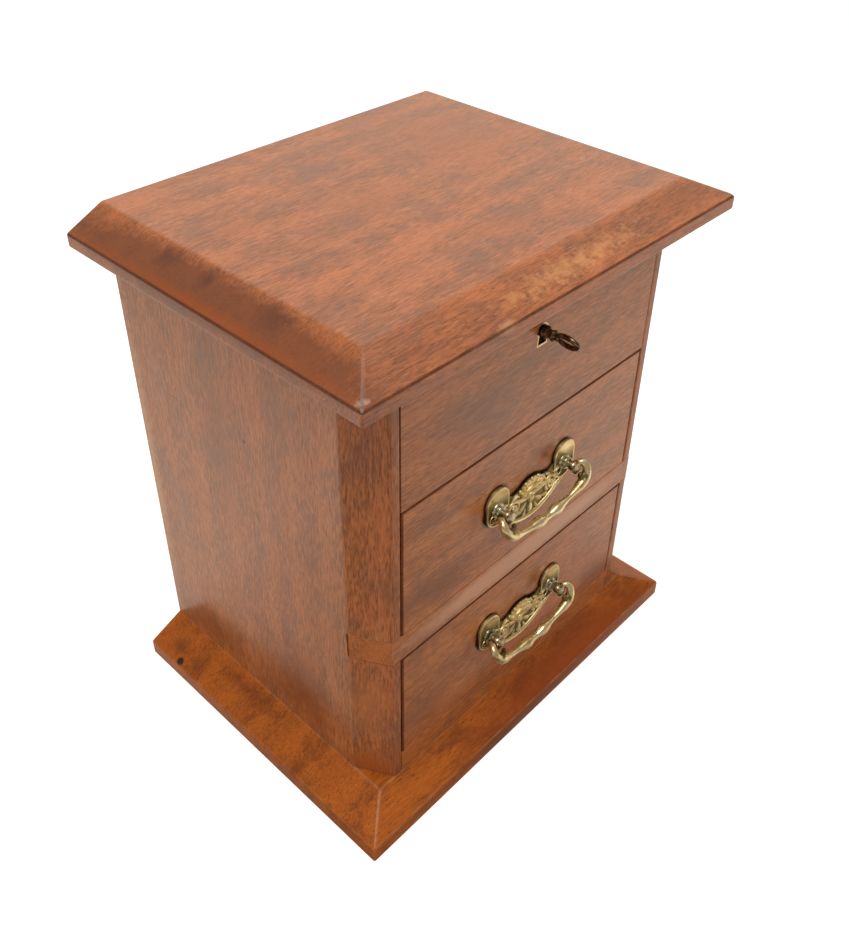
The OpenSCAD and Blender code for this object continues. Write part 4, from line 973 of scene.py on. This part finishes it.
def layFelt(name, node):
    low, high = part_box(node)
    size = high - low
    swell = felt["swell"] * mm
    bm = bmesh.new()
    bmesh.ops.create_grid(bm, x_segments=felt["columns"], y_segments=felt["rows"], size=0.5)
    bmesh.ops.scale(bm, vec=(size.x, size.y, 1), verts=bm.verts)
    bmesh.ops.translate(bm, vec=((low.x + high.x) / 2, (low.y + high.y) / 2, high.z - swell), verts=bm.verts)
    for vert in bm.verts:
        vert.co.z += noise.noise(vert.co * felt["swellScale"]) * swell
    bmesh.ops.recalc_face_normals(bm, faces=bm.faces)
    if sum(f.normal.z for f in bm.faces) < 0:
        bmesh.ops.reverse_faces(bm, faces=bm.faces)
    piece = addPiece(name, bm, baize, node)
    piece.modifiers.clear()
    thick = piece.modifiers.new("feltThickness", "SOLIDIFY")
    thick.thickness, thick.offset = size.z - felt["slack"] * mm, -1


layFelt("compartmentFelt", "compartment_felt")
layFelt("upperFelt", "upper_felt")
layFelt("lowerFelt", "lower_felt")
print("mirror and felts made")


# Floor, lights and world
studio = {
    "ambient": 0.48, "key": 14.0, "keyPlace": (-0.25, -0.2, 1.5), "keySize": 1.1,
    "window": (0.683, 0.517, 0.517), "windowGlow": 0.95, "roomGlow": 0.3, "roomTint": (1.0, 0.87, 0.72),
    "windowEdge": (0.66, 0.86), "dimSpot": (-0.22, -0.28), "dimReach": (0.2, 0.42), "dimmest": 0.12,
    "floorHalf": 5, "floorDrop": 0.0002, "floorGlow": 0.5, "floorShine": 0.1, "aim": (0, 0, 0.14),
}


def shownRays(d):
    path = d.add("LightPath").outputs
    mirrored = d.calc("MAXIMUM", path["Is Glossy Ray"], path["Is Transmission Ray"])
    return path["Is Camera Ray"], mirrored


# The floor shows pale, and what shines sees the dim part of the room near the camera in it
def makeStage(setup):
    bm = bmesh.new()
    bmesh.ops.create_grid(bm, x_segments=1, y_segments=1, size=setup["floorHalf"])
    mesh = bpy.data.meshes.new("floor")
    bm.to_mesh(mesh)
    bm.free()
    floor = bpy.data.objects.new("floor", mesh)
    bpy.context.scene.collection.objects.link(floor)
    floor.location.z = -setup["floorDrop"]
    material, d, shader = newMaterial("paleFloor")
    camera, mirrored = shownRays(d)
    place = d.placed()
    flat = d.vec("MULTIPLY", place, (1, 1, 0))
    away = d.vec("DISTANCE", flat, (*setup["dimSpot"], 0))
    lit = d.span(away, *setup["dimReach"], setup["dimmest"], 1.0)
    grey = d.add("CombineXYZ", {0: lit, 1: lit, 2: lit}).outputs[0]
    tinted = d.mix(1.0, (*setup["roomTint"], 1), grey, "MULTIPLY")
    shade = d.mix(mirrored, (1, 1, 1, 1), tinted)
    paper = d.ramp(d.noise(place, 3, 3, 0.5), [(0.3, (0.86, 0.86, 0.86)), (0.7, (0.9, 0.9, 0.9))])
    d.give(shader.inputs["Base Color"], d.mix(1.0, paper, shade, "MULTIPLY"))
    shader.inputs["Roughness"].default_value = 0.9
    shader.inputs["Specular IOR Level"].default_value = 0.1
    shader.inputs["Emission Color"].default_value = (1, 1, 1, 1)
    glow = d.calc("MULTIPLY", mirrored, d.calc("MULTIPLY", lit, setup["floorShine"]))
    d.give(shader.inputs["Emission Strength"], d.calc("MULTIPLY_ADD", camera, setup["floorGlow"], glow))
    mesh.materials.append(material)


def makeLights(setup):
    world = bpy.data.worlds.new("studio")
    bpy.context.scene.world = world
    world.use_nodes = True
    world.node_tree.nodes.clear()
    d = Desk(world.node_tree)
    camera, mirrored = shownRays(d)
    toWindow = d.vec("DOT_PRODUCT", d.add("TexCoord").outputs["Generated"], setup["window"])
    glow = d.span(toWindow, *setup["windowEdge"], setup["roomGlow"], setup["windowGlow"])
    soft = d.calc("MULTIPLY", d.calc("SUBTRACT", 1.0, d.calc("MAXIMUM", camera, mirrored)), setup["ambient"])
    strength = d.calc("ADD", d.calc("MULTIPLY_ADD", mirrored, glow, soft), camera)
    tint = d.mix(mirrored, (1, 1, 1, 1), (*setup["roomTint"], 1))
    back = d.add("Background", {"Color": tint, "Strength": strength})
    d.add("OutputWorld", {"Surface": back.outputs[0]})
    lamp = bpy.data.lights.new("softbox", "AREA")
    lamp.energy, lamp.size, lamp.shape = setup["key"], setup["keySize"], "SQUARE"
    thing = bpy.data.objects.new("softbox", lamp)
    thing.location = setup["keyPlace"]
    aim = Vector(setup["aim"]) - Vector(setup["keyPlace"])
    thing.rotation_mode = "QUATERNION"
    thing.rotation_quaternion = aim.to_track_quat("-Z", "Y")
    bpy.context.scene.collection.objects.link(thing)


makeCamera(cameraView)
makeStage(studio)
makeLights(studio)
bpy.context.scene.view_settings.view_transform = "Standard"
print("camera, floor and lights made")
